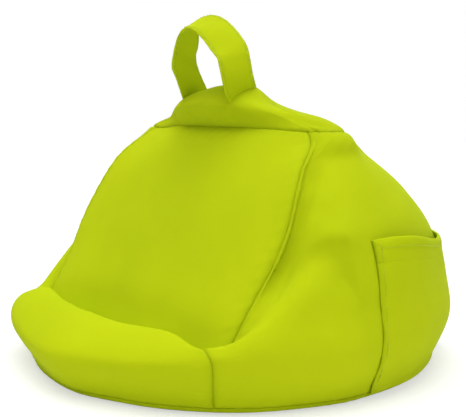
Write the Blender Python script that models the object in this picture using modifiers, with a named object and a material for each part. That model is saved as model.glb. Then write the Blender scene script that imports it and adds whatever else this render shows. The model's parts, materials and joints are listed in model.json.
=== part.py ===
"""Tablet cushion stand: a bead-filled cloth cushion with a leaned rest face, a trough behind a rolled front
lip, a patch pocket, a carrying loop and a closing zip low on the back.

Metres, +Z up. X runs left to right, the front is at -Y, and the origin is the middle of the base on the floor.
"""

import math

import bmesh
import bpy
import numpy as np
from mathutils import Matrix, Vector
from mathutils.bvhtree import BVHTree

# Cushion body
BODY_WIDTH = 0.324
BODY_DEPTH = 0.322
BODY_HEIGHT = 0.200
CONTACT_SHARE = 0.862
LOW_SHARE = 0.938
BULGE_HEIGHT = 0.038
LIP_BULGE_HEIGHT = 0.030
LOW_HEIGHT = 0.0115

# Rest face, trough and rim of the nest
REST_LEAN = math.radians(29.5)
REST_WIDTH = 0.248
REST_FOOT_FROM_FRONT = 0.060
TROUGH_HEIGHT = 0.023
TROUGH_HALF_WIDTH = 0.004
RIM_HEIGHT = 0.047
RIM_FROM_FRONT = 0.029
LEFT_SETTLE = 0.008

# Cloth and bead bags, as depths below the skin of the body
CLOTH = 0.0012
SEAM_GAP = 0.0003
SEAM_DRAW = 0.0005
BAG_DEPTH = 0.0024
DIVIDER = 0.0008
CLEAR = 0.0003

# Carrying loop: the widest place and the roots are measured to the middle of the strap, and its two legs are
# turned from square by their twists
STRAP_WIDTH = 0.0255
STRAP_THICK = 0.0024
LOOP_RISE = 0.0485
LOOP_WIDEST_RISE = 0.011
LOOP_HALF_WIDTH = 0.0300
ROOT_HALF_SPACING = 0.0275
LOOP_Y = -0.021
TAPER = 0.018
TIP_RADIUS = 0.0013
RIGHT_TWIST = math.radians(33.0)
LEFT_TWIST = math.radians(-11.0)
LOOP_STEPS_BELOW = 5
LOOP_STEPS_ABOVE = 6

# Side pocket
POCKET_HEIGHT = 0.101
POCKET_HEM = 0.014
POCKET_MOUTH_GAP = 0.0080
HEM_EXTRA = 0.0008

# Zip
ZIP_HEIGHT = 0.020
ZIP_SLOT = 0.0070
TAPE_WIDTH = 0.0085
TAPE_THICK = 0.0005
CHAIN_WIDTH = 0.0040
CHAIN_TOP = 0.0006
CHAIN_RIB = 0.0005
RIBS_PER_FACET = 6
STOP_TOP = 0.0016
STOP_LENGTH = 0.0030
SLIDER_LENGTH = 0.010
SLIDER_WIDTH = 0.0092
SLIDER_THICK = 0.0014
SLIDER_FLANGE = 0.0007
SLIDER_CLEARANCE = 0.0009
SLIDER_FROM_STOP = 0.0060
EAR_THICK = 0.0008
EAR_LENGTH = 0.0030
PIN_RADIUS = 0.0005
EYE_RADIUS = 0.0014
EYE_WIDTH = 0.0030
PULL_LENGTH = 0.024
PULL_WIDTH = 0.0060
PULL_THICK = 0.0010

# Where each column of the body's right half stands: the angle from straight ahead, in degrees
COLUMN_ANGLES = (0, 15, 31, 47, 60, 75, 85, 104, 124, 142, 161, 180)
REST_EDGE_COLUMN = 3
ARM_COLUMN = 4
SIDE_COLUMN = 5
BACK_CORNER_COLUMN = 9
POCKET_COLUMN = 6
REST_COLUMN_SHARES = (0.0, 0.34, 0.67, 1.0)
# How much of the left settle each of the columns left of the front takes
LEFT_SETTLE_SHARES = {2: 0.4, REST_EDGE_COLUMN: 1.0, ARM_COLUMN: 0.6}
ROD_SIDES = 12
STEPS = 2
BASE_INNER_SHARE = 0.5
SHARP_ANGLE = math.radians(40.0)

# Each upper level of the body: its height at the sides and back, half width, reach to the back and the
# place of its centre, as shares of the body's height, half width and half depth
LEVEL_SHARES = {
    "rim": (0.330, 0.978, 0.978, 0.0),
    "trough": (0.440, 0.945, 0.938, 0.0),
    "rest_low": (0.540, 0.893, 0.865, 0.0),
    "rest_mid": (0.640, 0.810, 0.745, 0.0),
    "rest_high": (0.750, 0.717, 0.490, 0.030),
    "ridge": (0.845, 0.640, 0.285, 0.050),
    "cap": (0.940, 0.290, 0.135, -0.035),
}
# The end of the lip, where it turns up into the arm, and the end of the trough behind it: the corner, arm and
# side columns in turn, each as shares of the half width, half depth and height
RIM_END_SHARES = ((0.672, -0.672, 0.215), (0.824, -0.514, 0.268), (0.850, -0.212, 0.405))
TROUGH_END_SHARES = ((0.686, -0.616, 0.158), (0.786, -0.447, 0.328), (0.822, -0.196, 0.480))
# How far the side just behind the arm is drawn in at the levels above
HOLLOW_SHARES = {"rest_low": 0.935, "rest_mid": 0.975}
# The rest face at those levels: its height as a share of the body's, and its width as a share of its own
REST_SHARES = {
    "rest_low": (0.315, 0.93),
    "rest_mid": (0.520, 0.96),
    "rest_high": (0.710, 0.89),
    "ridge": (0.855, 0.73),
}
RIDGE_EDGE_SETBACK = 0.009

GREEN = (0.53, 0.68, 0.005)
BAG_WHITE = (0.80, 0.80, 0.78)
METAL = (0.62, 0.62, 0.64)


def clear_scene():
    """Remove what the scene holds, so that the script can run again in an open file."""
    for obj in list(bpy.data.objects):
        bpy.data.objects.remove(obj, do_unlink=True)


def make_collection(name):
    """A collection of this name under the scene's own."""
    collection = bpy.data.collections.new(name)
    bpy.context.scene.collection.children.link(collection)
    return collection


def make_material(name, colour, roughness, metallic=0.0):
    """A Principled material of one colour."""
    material = bpy.data.materials.new(name)
    material.use_nodes = True
    shader = material.node_tree.nodes["Principled BSDF"]
    shader.inputs["Base Color"].default_value = (*colour, 1.0)
    shader.inputs["Roughness"].default_value = roughness
    shader.inputs["Metallic"].default_value = metallic
    return material


def make_object(name, vertices, faces, material, collection):
    """An object from points and faces, with its normals facing out."""
    mesh = bpy.data.meshes.new(name)
    mesh.from_pydata([tuple(point) for point in vertices], [], faces)
    work = bmesh.new()
    work.from_mesh(mesh)
    bmesh.ops.recalc_face_normals(work, faces=work.faces)
    work.to_mesh(mesh)
    work.free()
    mesh.materials.append(material)
    mesh.shade_smooth()
    mesh.set_sharp_from_angle(angle=SHARP_ANGLE)
    obj = bpy.data.objects.new(name, mesh)
    collection.objects.link(obj)
    return obj


def boolean(obj, operation, cutter, solver="EXACT"):
    """Cut or trim an object with a helper that isn't part of the cushion."""
    modifier = obj.modifiers.new(operation.lower(), "BOOLEAN")
    modifier.operation = operation
    modifier.solver = solver
    modifier.object = cutter


def as_cutter(obj):
    """Keep a helper out of the part."""
    obj.hide_render = True
    obj.display_type = "WIRE"
    return obj


def ring_point(angle, half_width, reach, centre):
    """A point of a level's outline. The angle runs from straight ahead to the right."""
    return half_width * math.sin(angle), centre - reach * math.cos(angle)


def rest_y(height):
    """How far back the rest face stands at this height."""
    return -BODY_DEPTH / 2 + REST_FOOT_FROM_FRONT + (height - TROUGH_HEIGHT) * math.tan(REST_LEAN)


def low_level(share, height, front_height):
    """The right half of a level below the rim, from the front round to the back."""
    points = []
    for column, degrees in enumerate(COLUMN_ANGLES):
        x, y = ring_point(math.radians(degrees), share * BODY_WIDTH / 2, share * BODY_DEPTH / 2, 0.0)
        ahead = max(0.0, 1.0 - column / SIDE_COLUMN)
        points.append((x, y, height + (front_height - height) * ahead))
    return points


def body_point(shares):
    """A point given as shares of the half width, the half depth and the height."""
    return shares[0] * BODY_WIDTH / 2, shares[1] * BODY_DEPTH / 2, shares[2] * BODY_HEIGHT


def rim_level():
    """The right half of the crest of the front lip, of the arm it turns up into, and of the side behind it."""
    height_share, width_share, back_share, _ = LEVEL_SHARES["rim"]
    points = []
    for degrees in COLUMN_ANGLES:
        x, y = ring_point(
            math.radians(degrees), width_share * BODY_WIDTH / 2, back_share * BODY_DEPTH / 2, 0.0
        )
        points.append((x, y, height_share * BODY_HEIGHT))
    for column in range(REST_EDGE_COLUMN):
        x, y, _ = points[column]
        ahead = math.cos(math.radians(COLUMN_ANGLES[column]))
        points[column] = (x, y + RIM_FROM_FRONT * ahead**2, RIM_HEIGHT)
    for column, shares in enumerate(RIM_END_SHARES, start=REST_EDGE_COLUMN):
        points[column] = body_point(shares)
    return points


def nest_level(name):
    """The right half of a level above the rim: the rest face ahead, and the round body at the side and back."""
    height_share, width_share, back_share, centre_share = LEVEL_SHARES[name]
    height = height_share * BODY_HEIGHT
    centre = centre_share * BODY_DEPTH / 2
    points = []
    for degrees in COLUMN_ANGLES:
        x, y = ring_point(
            math.radians(degrees), width_share * BODY_WIDTH / 2, back_share * BODY_DEPTH / 2, centre
        )
        points.append((x, y, height))
    if name == "cap":
        return points
    hollow = HOLLOW_SHARES.get(name, 1.0)
    x, y, z = points[SIDE_COLUMN]
    points[SIDE_COLUMN] = (hollow * x, hollow * y, z)
    front_share, edge_share = REST_SHARES.get(name, (TROUGH_HEIGHT / BODY_HEIGHT, 1.0))
    front = front_share * BODY_HEIGHT
    for column, share in enumerate(REST_COLUMN_SHARES):
        x = share * edge_share * REST_WIDTH / 2
        y = rest_y(front)
        z = front
        if name == "trough":
            y -= TROUGH_HALF_WIDTH
        if name == "ridge":
            y += RIDGE_EDGE_SETBACK * share**3
            z += (height - front) * share**3
        points[column] = (x, y, z)
    before, after = np.array(points[REST_EDGE_COLUMN]), np.array(points[SIDE_COLUMN])
    points[ARM_COLUMN] = tuple((before + after) / 2)
    if name == "trough":
        for column, shares in enumerate(TROUGH_END_SHARES, start=REST_EDGE_COLUMN):
            points[column] = body_point(shares)
    return points


def whole_ring(half):
    """Both halves of a level as one closed ring, from the front to the right and round."""
    mirrored = [(-x, y, z) for x, y, z in half[-2:0:-1]]
    return list(half) + mirrored


def spline(points, steps, closed):
    """Points on a smooth curve through these ones, the given number of steps apart."""
    count = len(points)
    spans = count if closed else count - 1
    out = []
    for span in range(spans):
        if closed:
            a, b, c, d = (points[(span + shift) % count] for shift in (-1, 0, 1, 2))
        else:
            a, b, c, d = (points[min(max(span + shift, 0), count - 1)] for shift in (-1, 0, 1, 2))
        for step in range(steps):
            t = step / steps
            out.append(
                0.5 * (2 * b + (c - a) * t + (2 * a - 5 * b + 4 * c - d) * t**2 + (3 * b - a - 3 * c + d) * t**3)
            )
    if not closed:
        out.append(points[-1])
    return np.array(out)


LEVEL_NAMES = (
    "inner", "contact", "low", "bulge", "rim", "trough", "rest_low", "rest_mid", "rest_high", "ridge", "cap",
)


def row_of(level):
    """The row of the body's grid that runs along a named level."""
    return LEVEL_NAMES.index(level) * STEPS + 1


def body_grid():
    """The body's skin as rows of points, from the middle of the base up to the top of the cap."""
    halves = {
        "inner": low_level(BASE_INNER_SHARE * CONTACT_SHARE, 0.0, 0.0),
        "contact": low_level(CONTACT_SHARE, 0.0, 0.0),
        "low": low_level(LOW_SHARE, LOW_HEIGHT, LOW_HEIGHT),
        "bulge": low_level(1.0, BULGE_HEIGHT, LIP_BULGE_HEIGHT),
        "rim": rim_level(),
    }
    for name in LEVEL_NAMES[LEVEL_NAMES.index("trough"):]:
        halves[name] = nest_level(name)
    rings = [np.array(whole_ring(halves[name])) for name in LEVEL_NAMES]
    count = len(rings[0])
    settle = {count - column: share for column, share in LEFT_SETTLE_SHARES.items()}
    for column, share in settle.items():
        rings[LEVEL_NAMES.index("rim")][column][2] -= LEFT_SETTLE * share
    cap_centre = LEVEL_SHARES["cap"][3] * BODY_DEPTH / 2
    top = np.tile((0.0, cap_centre, BODY_HEIGHT), (count, 1))
    beyond = np.roll(rings[-1], count // 2, axis=0)
    rows = spline(np.array(rings + [top, beyond]), STEPS, closed=False)[: -STEPS]
    rows[: STEPS + 1, :, 2] = 0.0
    around = np.array([spline(row, STEPS, closed=True) for row in rows])
    foot = np.zeros((1, around.shape[1], 3))
    return np.concatenate([foot, around])


def triangles(corners):
    """A face's triangles, always split from its first corner, so that layers on the same grid stay parallel."""
    loop = list(dict.fromkeys(corners))
    return [(loop[0], loop[place], loop[place + 1]) for place in range(1, len(loop) - 1)]


def grid_faces(rows, columns):
    """The body's faces, where the first and the last row are each one point."""
    last = rows - 1
    faces = []
    for row in range(last):
        for column in range(columns):
            after = (column + 1) % columns
            loop = [(row, column), (row, after), (row + 1, after), (row + 1, column)]
            faces += triangles([r * columns + (0 if r in (0, last) else c) for r, c in loop])
    return faces


def grid_normals(grid):
    """The outward direction at each point of the grid, shared by every layer and panel."""
    rows, columns, _ = grid.shape
    flat = grid.reshape(-1, 3)
    normals = np.zeros_like(flat)
    for face in grid_faces(rows, columns):
        corners = flat[list(face)]
        normals[list(face)] += np.cross(corners[1] - corners[0], corners[2] - corners[0])
    normals[:columns] = (0.0, 0.0, -1.0)
    normals[-columns:] = (0.0, 0.0, 1.0)
    lengths = np.linalg.norm(normals, axis=1, keepdims=True)
    return (normals / lengths).reshape(grid.shape)


class Skin:
    """The body's skin: places on it by row and column, lifted above or sunk below it."""

    def __init__(self):
        self.grid = body_grid()
        self.normals = grid_normals(self.grid)
        self.rows, self.columns, _ = self.grid.shape

    def blend(self, field, row, column):
        """A grid value at a row and column, which may be fractions."""
        low_row, low_column = math.floor(row), math.floor(column)
        value = np.zeros(3)
        for step_row, row_weight in ((0, 1 - row + low_row), (1, row - low_row)):
            for step_column, column_weight in ((0, 1 - column + low_column), (1, column - low_column)):
                if row_weight * column_weight > 0:
                    place = field[low_row + step_row, (low_column + step_column) % self.columns]
                    value += row_weight * column_weight * place
        return value

    def at(self, row, column, lift=0.0):
        """The point at a row and column, lifted off the skin."""
        normal = self.blend(self.normals, row, column)
        return self.blend(self.grid, row, column) + lift * normal / np.linalg.norm(normal)

    def up(self, row, column, distance):
        """The row reached from here by going this distance up the skin, or down it where negative."""
        step = 1 if distance > 0 else -1
        left = abs(distance)
        while left > 0:
            after = math.floor(row) + 1 if step > 0 else math.ceil(row) - 1
            length = np.linalg.norm(self.at(after, column) - self.at(row, column))
            if length >= left:
                return row + (after - row) * left / length
            left -= length
            row = after
        return row

    def along(self, row, column, distance):
        """The column reached from here by going this distance round the skin, within a facet."""
        after = column + math.copysign(1.0, distance)
        length = np.linalg.norm(self.at(row, after) - self.at(row, column))
        return column + distance / length

    def row_at(self, column, height):
        """The row at which a column stands at this height."""
        row = row_of("contact")
        while self.grid[row + 1, column, 2] < height:
            row += 1
        low, high = self.grid[row, column, 2], self.grid[row + 1, column, 2]
        return row + (height - low) / (high - low)

    def solid(self, name, depth, material, collection):
        """The whole body as one closed solid, this far below its skin."""
        points = (self.grid - depth * self.normals).reshape(-1, 3)
        faces = grid_faces(self.rows, self.columns)
        used = sorted({index for face in faces for index in face})
        number = {index: place for place, index in enumerate(used)}
        faces = [tuple(number[index] for index in face) for face in faces]
        return make_object(name, points[used], faces, material, collection)


def places(first, last):
    """The ends of a run of rows or columns, and the whole ones between."""
    return [first, *range(math.floor(first) + 1, math.ceil(last)), last]


def sheet(skin, name, rows, columns, lifts, material, collection, wraps=False):
    """A cloth piece on the skin, with its open edges drawn back from their seams.

    rows and columns are places on the grid. lifts gives the outer and inner lift of a place from its number in
    rows and in columns. A piece that wraps goes all the way round.
    """
    last_row, last_column = len(rows) - 1, len(columns) - 1
    vertices, index = [], {}

    def pole(r):
        return rows[r] in (0, skin.rows - 1)

    def place(r, c):
        row, column = rows[r], columns[c]
        if pole(r):
            return row, 0
        if not wraps and c in (0, last_column):
            column = skin.along(row, column, SEAM_GAP / 2 if c == 0 else -SEAM_GAP / 2)
        if r in (0, last_row):
            row = skin.up(row, column, SEAM_GAP / 2 if r == 0 else -SEAM_GAP / 2)
        return row, column

    for layer in (0, 1):
        for r in range(last_row + 1):
            for c in range(last_column + 1):
                if pole(r) and c > 0:
                    index[layer, r, c] = index[layer, r, 0]
                    continue
                index[layer, r, c] = len(vertices)
                vertices.append(skin.at(*place(r, c), lifts(r, c)[layer]))

    spans = [(c, c + 1) for c in range(last_column)] + ([(last_column, 0)] if wraps else [])
    loops = [[(layer, r, a), (layer, r, b), (layer, r + 1, b), (layer, r + 1, a)]
             for layer in (0, 1) for r in range(last_row) for a, b in spans]
    loops += [[(0, r, a), (0, r, b), (1, r, b), (1, r, a)] for r in (0, last_row) if not pole(r) for a, b in spans]
    if not wraps:
        loops += [[(0, r, c), (0, r + 1, c), (1, r + 1, c), (1, r, c)]
                  for c in (0, last_column) for r in range(last_row)]
    faces = [face for loop in loops for face in triangles([index[key] for key in loop])]
    return make_object(name, vertices, faces, material, collection)


def panel(skin, name, rows, columns, material, collection, wraps=False):
    """One panel of the cover, which dips a little at its seams."""
    last_row, last_column = len(rows) - 1, len(columns) - 1

    def lifts(r, c):
        at_seam = (r in (0, last_row) and rows[r] not in (0, skin.rows - 1)) or (
            not wraps and c in (0, last_column)
        )
        return (-SEAM_DRAW if at_seam else 0.0), -CLOTH

    return sheet(skin, name, rows, columns, lifts, material, collection, wraps)


def cover_panels(skin, zip_row, material, collection):
    """The panels that make up the cover."""
    base_seam = row_of("contact") + 1
    trough, top_seam = row_of("trough"), row_of("ridge")
    around = list(range(skin.columns))
    corner = REST_EDGE_COLUMN * STEPS
    back = BACK_CORNER_COLUMN * STEPS
    ahead = places(-corner, corner)
    right = places(corner, back)
    left = places(skin.columns - back, skin.columns - corner)
    behind = places(back, skin.columns - back)
    middle = skin.columns // 2
    slot_top = skin.up(zip_row, middle, ZIP_SLOT / 2)
    slot_bottom = skin.up(zip_row, middle, -ZIP_SLOT / 2)
    panel(skin, "base_panel", places(0, base_seam), around, material, collection, wraps=True)
    panel(skin, "lip_panel", places(base_seam, trough), ahead, material, collection)
    panel(skin, "rest_panel", places(trough, top_seam), ahead, material, collection)
    panel(skin, "side_panel_right", places(base_seam, top_seam), right, material, collection)
    panel(skin, "side_panel_left", places(base_seam, top_seam), left, material, collection)
    panel(skin, "back_panel", places(slot_top, top_seam), behind, material, collection)
    panel(skin, "back_lower_panel", places(base_seam, slot_bottom), behind, material, collection)
    panel(skin, "top_panel", places(top_seam, skin.rows - 1), around, material, collection, wraps=True)


def pocket(skin, material, collection):
    """The patch pocket on the right side, sewn on three edges, with its turned hem along the open top."""
    first, last = POCKET_COLUMN * STEPS, BACK_CORNER_COLUMN * STEPS
    columns = places(first, last)
    foot = row_of("contact") + 1
    mouth = skin.row_at(first, POCKET_HEIGHT)
    hem_foot = skin.up(mouth, first, -POCKET_HEM)

    def mouth_lift(row, c):
        across = math.sin(math.pi * math.sqrt(c / (len(columns) - 1))) ** 2
        return POCKET_MOUTH_GAP * across * ((row - foot) / (mouth - foot)) ** 2

    def lifts_between(rows, thickness):
        def lifts(r, c):
            inner = CLEAR + mouth_lift(rows[r], c)
            return inner + thickness, inner
        return lifts

    below = places(foot, hem_foot)
    above = places(hem_foot, mouth)
    sheet(skin, "pocket_panel", below, columns, lifts_between(below, CLOTH), material, collection)
    sheet(skin, "pocket_hem", above, columns, lifts_between(above, CLOTH + HEM_EXTRA), material, collection)


def make_box(name, size, centre, collection, material=None):
    """A box of this size about this centre."""
    mesh = bpy.data.meshes.new(name)
    work = bmesh.new()
    bmesh.ops.create_cube(work, size=1.0)
    bmesh.ops.scale(work, vec=size, verts=work.verts)
    bmesh.ops.translate(work, vec=centre, verts=work.verts)
    work.to_mesh(mesh)
    work.free()
    if material:
        mesh.materials.append(material)
    obj = bpy.data.objects.new(name, mesh)
    collection.objects.link(obj)
    return obj


def make_rod(name, radius, length, centre, sides, collection, material=None):
    """A cylinder along Y about this centre."""
    mesh = bpy.data.meshes.new(name)
    work = bmesh.new()
    bmesh.ops.create_cone(
        work, cap_ends=True, segments=sides, radius1=radius, radius2=radius, depth=length,
        matrix=Matrix.Translation(centre) @ Matrix.Rotation(math.pi / 2, 4, "X"),
    )
    work.to_mesh(mesh)
    work.free()
    if material:
        mesh.materials.append(material)
    obj = bpy.data.objects.new(name, mesh)
    collection.objects.link(obj)
    return obj


def bead_bags(skin, cloth, beads, parts, helpers):
    """The two filled bead bags, and the cloth wall under the trough that stands between them."""
    wall_y = skin.at(row_of("trough"), 0)[1]
    reach = BODY_WIDTH
    tall = 2 * BODY_HEIGHT
    for name, side in (("bead_bag_lip", -1), ("bead_bag_body", 1)):
        bag = skin.solid(name, BAG_DEPTH, beads, parts)
        near = wall_y + side * (DIVIDER / 2 + CLEAR)
        block = make_box(name + "_side", (2 * reach, reach, tall), (0.0, near + side * reach / 2, 0.0), helpers)
        boolean(bag, "INTERSECT", as_cutter(block), "MANIFOLD")
    wall = make_box("divider_panel", (2 * reach, DIVIDER, tall), (0.0, wall_y, 0.0), parts, cloth)
    inside = skin.solid("divider_outline", CLOTH + CLEAR, beads, helpers)
    boolean(wall, "INTERSECT", as_cutter(inside), "MANIFOLD")


def carrying_loop(skin, material, collection):
    """The strap that stands as a loop on the cap. It flops about the line of its two points."""
    ground = skin_height(skin, ROOT_HALF_SPACING, LOOP_Y)
    hinge_z = ground + CLEAR + TIP_RADIUS
    widest_z = BODY_HEIGHT + LOOP_WIDEST_RISE
    root_turn = math.acos(ROOT_HALF_SPACING / LOOP_HALF_WIDTH)
    drop = (widest_z - hinge_z) / math.sin(root_turn)
    rise = LOOP_RISE - LOOP_WIDEST_RISE - STRAP_THICK / 2
    turns = [-root_turn * (1 - step / LOOP_STEPS_BELOW) for step in range(LOOP_STEPS_BELOW)]
    turns += [math.pi / 2 * step / LOOP_STEPS_ABOVE for step in range(LOOP_STEPS_ABOVE + 1)]
    half = []
    for turn in turns:
        height = rise if turn > 0 else drop
        half.append((LOOP_HALF_WIDTH * math.cos(turn), widest_z + height * math.sin(turn)))
    path = half + [(-x, z) for x, z in half[-2::-1]]
    lengths = np.cumsum([0.0] + [math.dist(a, b) for a, b in zip(path, path[1:])])
    vertices = []
    for number, ((x, z), run) in enumerate(zip(path, lengths)):
        from_tip = min(run, lengths[-1] - run)
        half_width = min(STRAP_WIDTH / 2, TIP_RADIUS + from_tip * STRAP_WIDTH / 2 / TAPER)
        tip = number in (0, len(path) - 1)
        if tip:
            half_width = TIP_RADIUS * math.cos(math.pi / 4)
        twist = RIGHT_TWIST + (LEFT_TWIST - RIGHT_TWIST) * run / lengths[-1]
        for side in (-1, 0, 1):
            sink = TIP_RADIUS * (math.sin(math.pi / 4) if side else 1.0) if tip else 0.0
            across = side * half_width
            vertices.append((x + across * math.sin(twist), across * math.cos(twist), z - sink - hinge_z))
    faces = []
    for row in range(len(path) - 1):
        for side in (0, 1):
            a = row * 3 + side
            faces.append((a, a + 1, a + 4, a + 3))
    strap = make_object("handle_strap", vertices, faces, material, collection)
    strap.location = (0.0, LOOP_Y, hinge_z)
    thick = strap.modifiers.new("thickness", "SOLIDIFY")
    thick.thickness = STRAP_THICK
    thick.offset = 0.0
    return strap


def skin_height(skin, x, y):
    """How high the body's skin stands under the foot of the strap at this place."""
    faces = grid_faces(skin.rows, skin.columns)
    points = [Vector(point) for point in skin.grid.reshape(-1, 3)]
    tree = BVHTree.FromPolygons(points, faces)
    down = Vector((0.0, 0.0, -1.0))
    heights = []
    for across in (-STRAP_THICK / 2, 0.0, STRAP_THICK / 2):
        for ahead in (-TIP_RADIUS, 0.0, TIP_RADIUS):
            start = Vector((x + across, y + ahead, 2 * BODY_HEIGHT))
            heights.append(tree.ray_cast(start, down)[0].z)
    return max(heights)


def zip_tapes(skin, zip_row, columns, material, collection):
    """The two tapes sewn under the edges of the zip's slot."""
    middle = skin.columns // 2
    top = -(CLOTH + CLEAR)

    def lifts(r, c):
        return top, top - TAPE_THICK

    for name, side in (("zip_tape_upper", 1), ("zip_tape_lower", -1)):
        near = skin.up(zip_row, middle, side * (CHAIN_WIDTH / 2 + CLEAR))
        far = skin.up(near, middle, side * TAPE_WIDTH)
        sheet(skin, name, places(min(near, far), max(near, far)), columns, lifts, material, collection)


def chain_run(skin, name, zip_row, columns, tops, material, collection):
    """A bar that follows the zip's line, with its own height above the skin at each place."""
    bottom = -(CLOTH + CLEAR + TAPE_THICK)
    vertices = []
    for column, top in zip(columns, tops):
        low = skin.up(zip_row, column, -CHAIN_WIDTH / 2)
        high = skin.up(zip_row, column, CHAIN_WIDTH / 2)
        vertices += [skin.at(low, column, bottom), skin.at(high, column, bottom)]
        vertices += [skin.at(high, column, top), skin.at(low, column, top)]
    faces = [(0, 1, 2, 3), tuple(len(vertices) - 4 + corner for corner in range(4))]
    for start in range(0, len(vertices) - 4, 4):
        for corner in range(4):
            after = (corner + 1) % 4
            faces.append((start + corner, start + after, start + 4 + after, start + 4 + corner))
    return make_object(name, vertices, faces, material, collection)


def zip_chain_and_stops(skin, zip_row, first, last, material, collection):
    """The toothed chain along the slot, with a stop at each end."""
    first_end = skin.along(zip_row, first, STOP_LENGTH)
    last_end = skin.along(zip_row, last, -STOP_LENGTH)
    for name, start, end in (("zip_stop_right", first, first_end), ("zip_stop_left", last_end, last)):
        chain_run(skin, name, zip_row, (start, end), (STOP_TOP, STOP_TOP), material, collection)
    start = skin.along(zip_row, first_end, CLEAR)
    end = skin.along(zip_row, last_end, -CLEAR)
    inside = range(math.floor(start) + 1, math.ceil(end))
    knots = [start, *inside, end]
    columns, tops = [], []
    for a, b in zip(knots, knots[1:]):
        for step in range(2 * RIBS_PER_FACET):
            columns.append(a + (b - a) * step / (2 * RIBS_PER_FACET))
            tops.append(CHAIN_TOP + CHAIN_RIB * (step % 2))
    columns.append(end)
    tops.append(CHAIN_TOP)
    chain_run(skin, "zip_chain", zip_row, columns, tops, material, collection)


def zip_arc(skin, zip_row, first):
    """The level arc that the zip's line follows: its middle, its radius and how far round its right end is."""
    side = skin.at(zip_row, first)
    back = skin.at(zip_row, skin.columns // 2)
    rise = back[1] - side[1]
    radius = (side[0] ** 2 + rise**2) / (2 * rise)
    return Vector((0.0, back[1] - radius, back[2])), radius, math.asin(side[0] / radius)


def slider_angle(radius, end_angle):
    """How far round the slider rests, at the closed end of the zip near the right stop."""
    return end_angle - (STOP_LENGTH + SLIDER_FROM_STOP + SLIDER_LENGTH / 2) / radius


def slider_and_pull(skin, zip_row, first, metal, collection):
    """The slider, which runs round the back on the chain, and its pull, which swings on the slider's pin."""
    centre, radius, end_angle = zip_arc(skin, zip_row, first)
    middle = skin.columns // 2
    tilt = math.asin(-skin.blend(skin.normals, zip_row, middle)[2])
    plate_bottom = CHAIN_TOP + CHAIN_RIB + SLIDER_CLEARANCE
    plate_top = plate_bottom + SLIDER_THICK
    pin_height = plate_top + EYE_RADIUS + CLEAR
    ear_height = pin_height + EYE_RADIUS - plate_top
    turn = Matrix.Translation(centre) @ Matrix.Rotation(-slider_angle(radius, end_angle), 4, "Z")
    to_skin = Matrix.Translation((0.0, radius, 0.0)) @ Matrix.Rotation(-math.pi / 2 - tilt, 4, "X")

    plate = make_box("zip_slider", (SLIDER_LENGTH, SLIDER_WIDTH, SLIDER_THICK),
                     (0.0, 0.0, plate_bottom + SLIDER_THICK / 2), collection, metal)
    pieces = []
    for side in (-1, 1):
        flange_y = side * (CHAIN_WIDTH / 2 + SLIDER_CLEARANCE + SLIDER_FLANGE / 2)
        flange_height = plate_bottom + SLIDER_THICK / 2 - CLEAR
        pieces.append(make_box("slider_flange", (SLIDER_LENGTH, SLIDER_FLANGE, flange_height),
                               (0.0, flange_y, CLEAR + flange_height / 2), collection))
        ear_y = side * (EYE_WIDTH / 2 + CLEAR + EAR_THICK / 2)
        pieces.append(make_box("slider_ear", (EAR_LENGTH, EAR_THICK, ear_height + SLIDER_THICK / 2),
                               (0.0, ear_y, plate_top + ear_height / 2 - SLIDER_THICK / 4), collection))
    pin_length = EYE_WIDTH + 2 * CLEAR + EAR_THICK
    pieces.append(make_rod("slider_pin", PIN_RADIUS, pin_length, (0.0, 0.0, pin_height), ROD_SIDES, collection))
    slider = joined(plate, pieces)
    slider.data.transform(to_skin)
    slider.matrix_world = turn

    neck = EAR_LENGTH / 2 + EYE_RADIUS + CLEAR
    eye = make_rod("zip_pull", EYE_RADIUS, EYE_WIDTH, (0.0, 0.0, 0.0), ROD_SIDES, collection, metal)
    reach = neck + CLEAR
    neck_box = make_box("pull_neck", (reach, EYE_WIDTH, PULL_THICK), (reach / 2, 0.0, 0.0), collection)
    tab_size = (PULL_LENGTH - neck, PULL_WIDTH, PULL_THICK)
    tab = make_box("pull_tab", tab_size, ((PULL_LENGTH + neck) / 2, 0.0, 0.0), collection)
    hole = make_rod("pull_hole", PIN_RADIUS + CLEAR, 2 * EYE_WIDTH, (0.0, 0.0, 0.0), ROD_SIDES, collection)
    pull = joined(eye, [neck_box, tab], [hole])
    pull.matrix_world = turn @ to_skin @ Matrix.Translation((0.0, 0.0, pin_height))


def joined(first, added, cut=()):
    """Union the added shapes with the first, take the cut shapes from it and keep one plain mesh."""
    helpers = list(added) + list(cut)
    for piece in added:
        boolean(first, "UNION", piece)
    for piece in cut:
        boolean(first, "DIFFERENCE", piece)
    bpy.context.view_layer.update()
    evaluated = first.evaluated_get(bpy.context.evaluated_depsgraph_get())
    mesh = bpy.data.meshes.new_from_object(evaluated)
    first.modifiers.clear()
    first.data = mesh
    for piece in helpers:
        bpy.data.objects.remove(piece, do_unlink=True)
    return first


def main():
    """Build the cushion stand."""
    clear_scene()
    parts = make_collection("tablet_cushion_stand")
    helpers = make_collection("cutters")
    cotton = make_material("green_cotton", GREEN, 0.9)
    liner = make_material("bead_bag_liner", BAG_WHITE, 0.9)
    tape = make_material("zip_tape", GREEN, 0.85)
    nylon = make_material("zip_nylon", GREEN, 0.5)
    metal = make_material("zip_metal", METAL, 0.35, 1.0)

    skin = Skin()
    middle = skin.columns // 2
    zip_row = skin.row_at(middle, ZIP_HEIGHT)
    first = skin.along(zip_row, BACK_CORNER_COLUMN * STEPS, SEAM_GAP)
    last = skin.along(zip_row, skin.columns - BACK_CORNER_COLUMN * STEPS, -SEAM_GAP)
    cover_panels(skin, zip_row, cotton, parts)
    pocket(skin, cotton, parts)
    carrying_loop(skin, cotton, parts)
    bead_bags(skin, cotton, liner, parts, helpers)
    zip_tapes(skin, zip_row, places(first, last), tape, parts)
    zip_chain_and_stops(skin, zip_row, first, last, nylon, parts)
    slider_and_pull(skin, zip_row, first, metal, parts)


if __name__ == "__main__":
    main()
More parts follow.
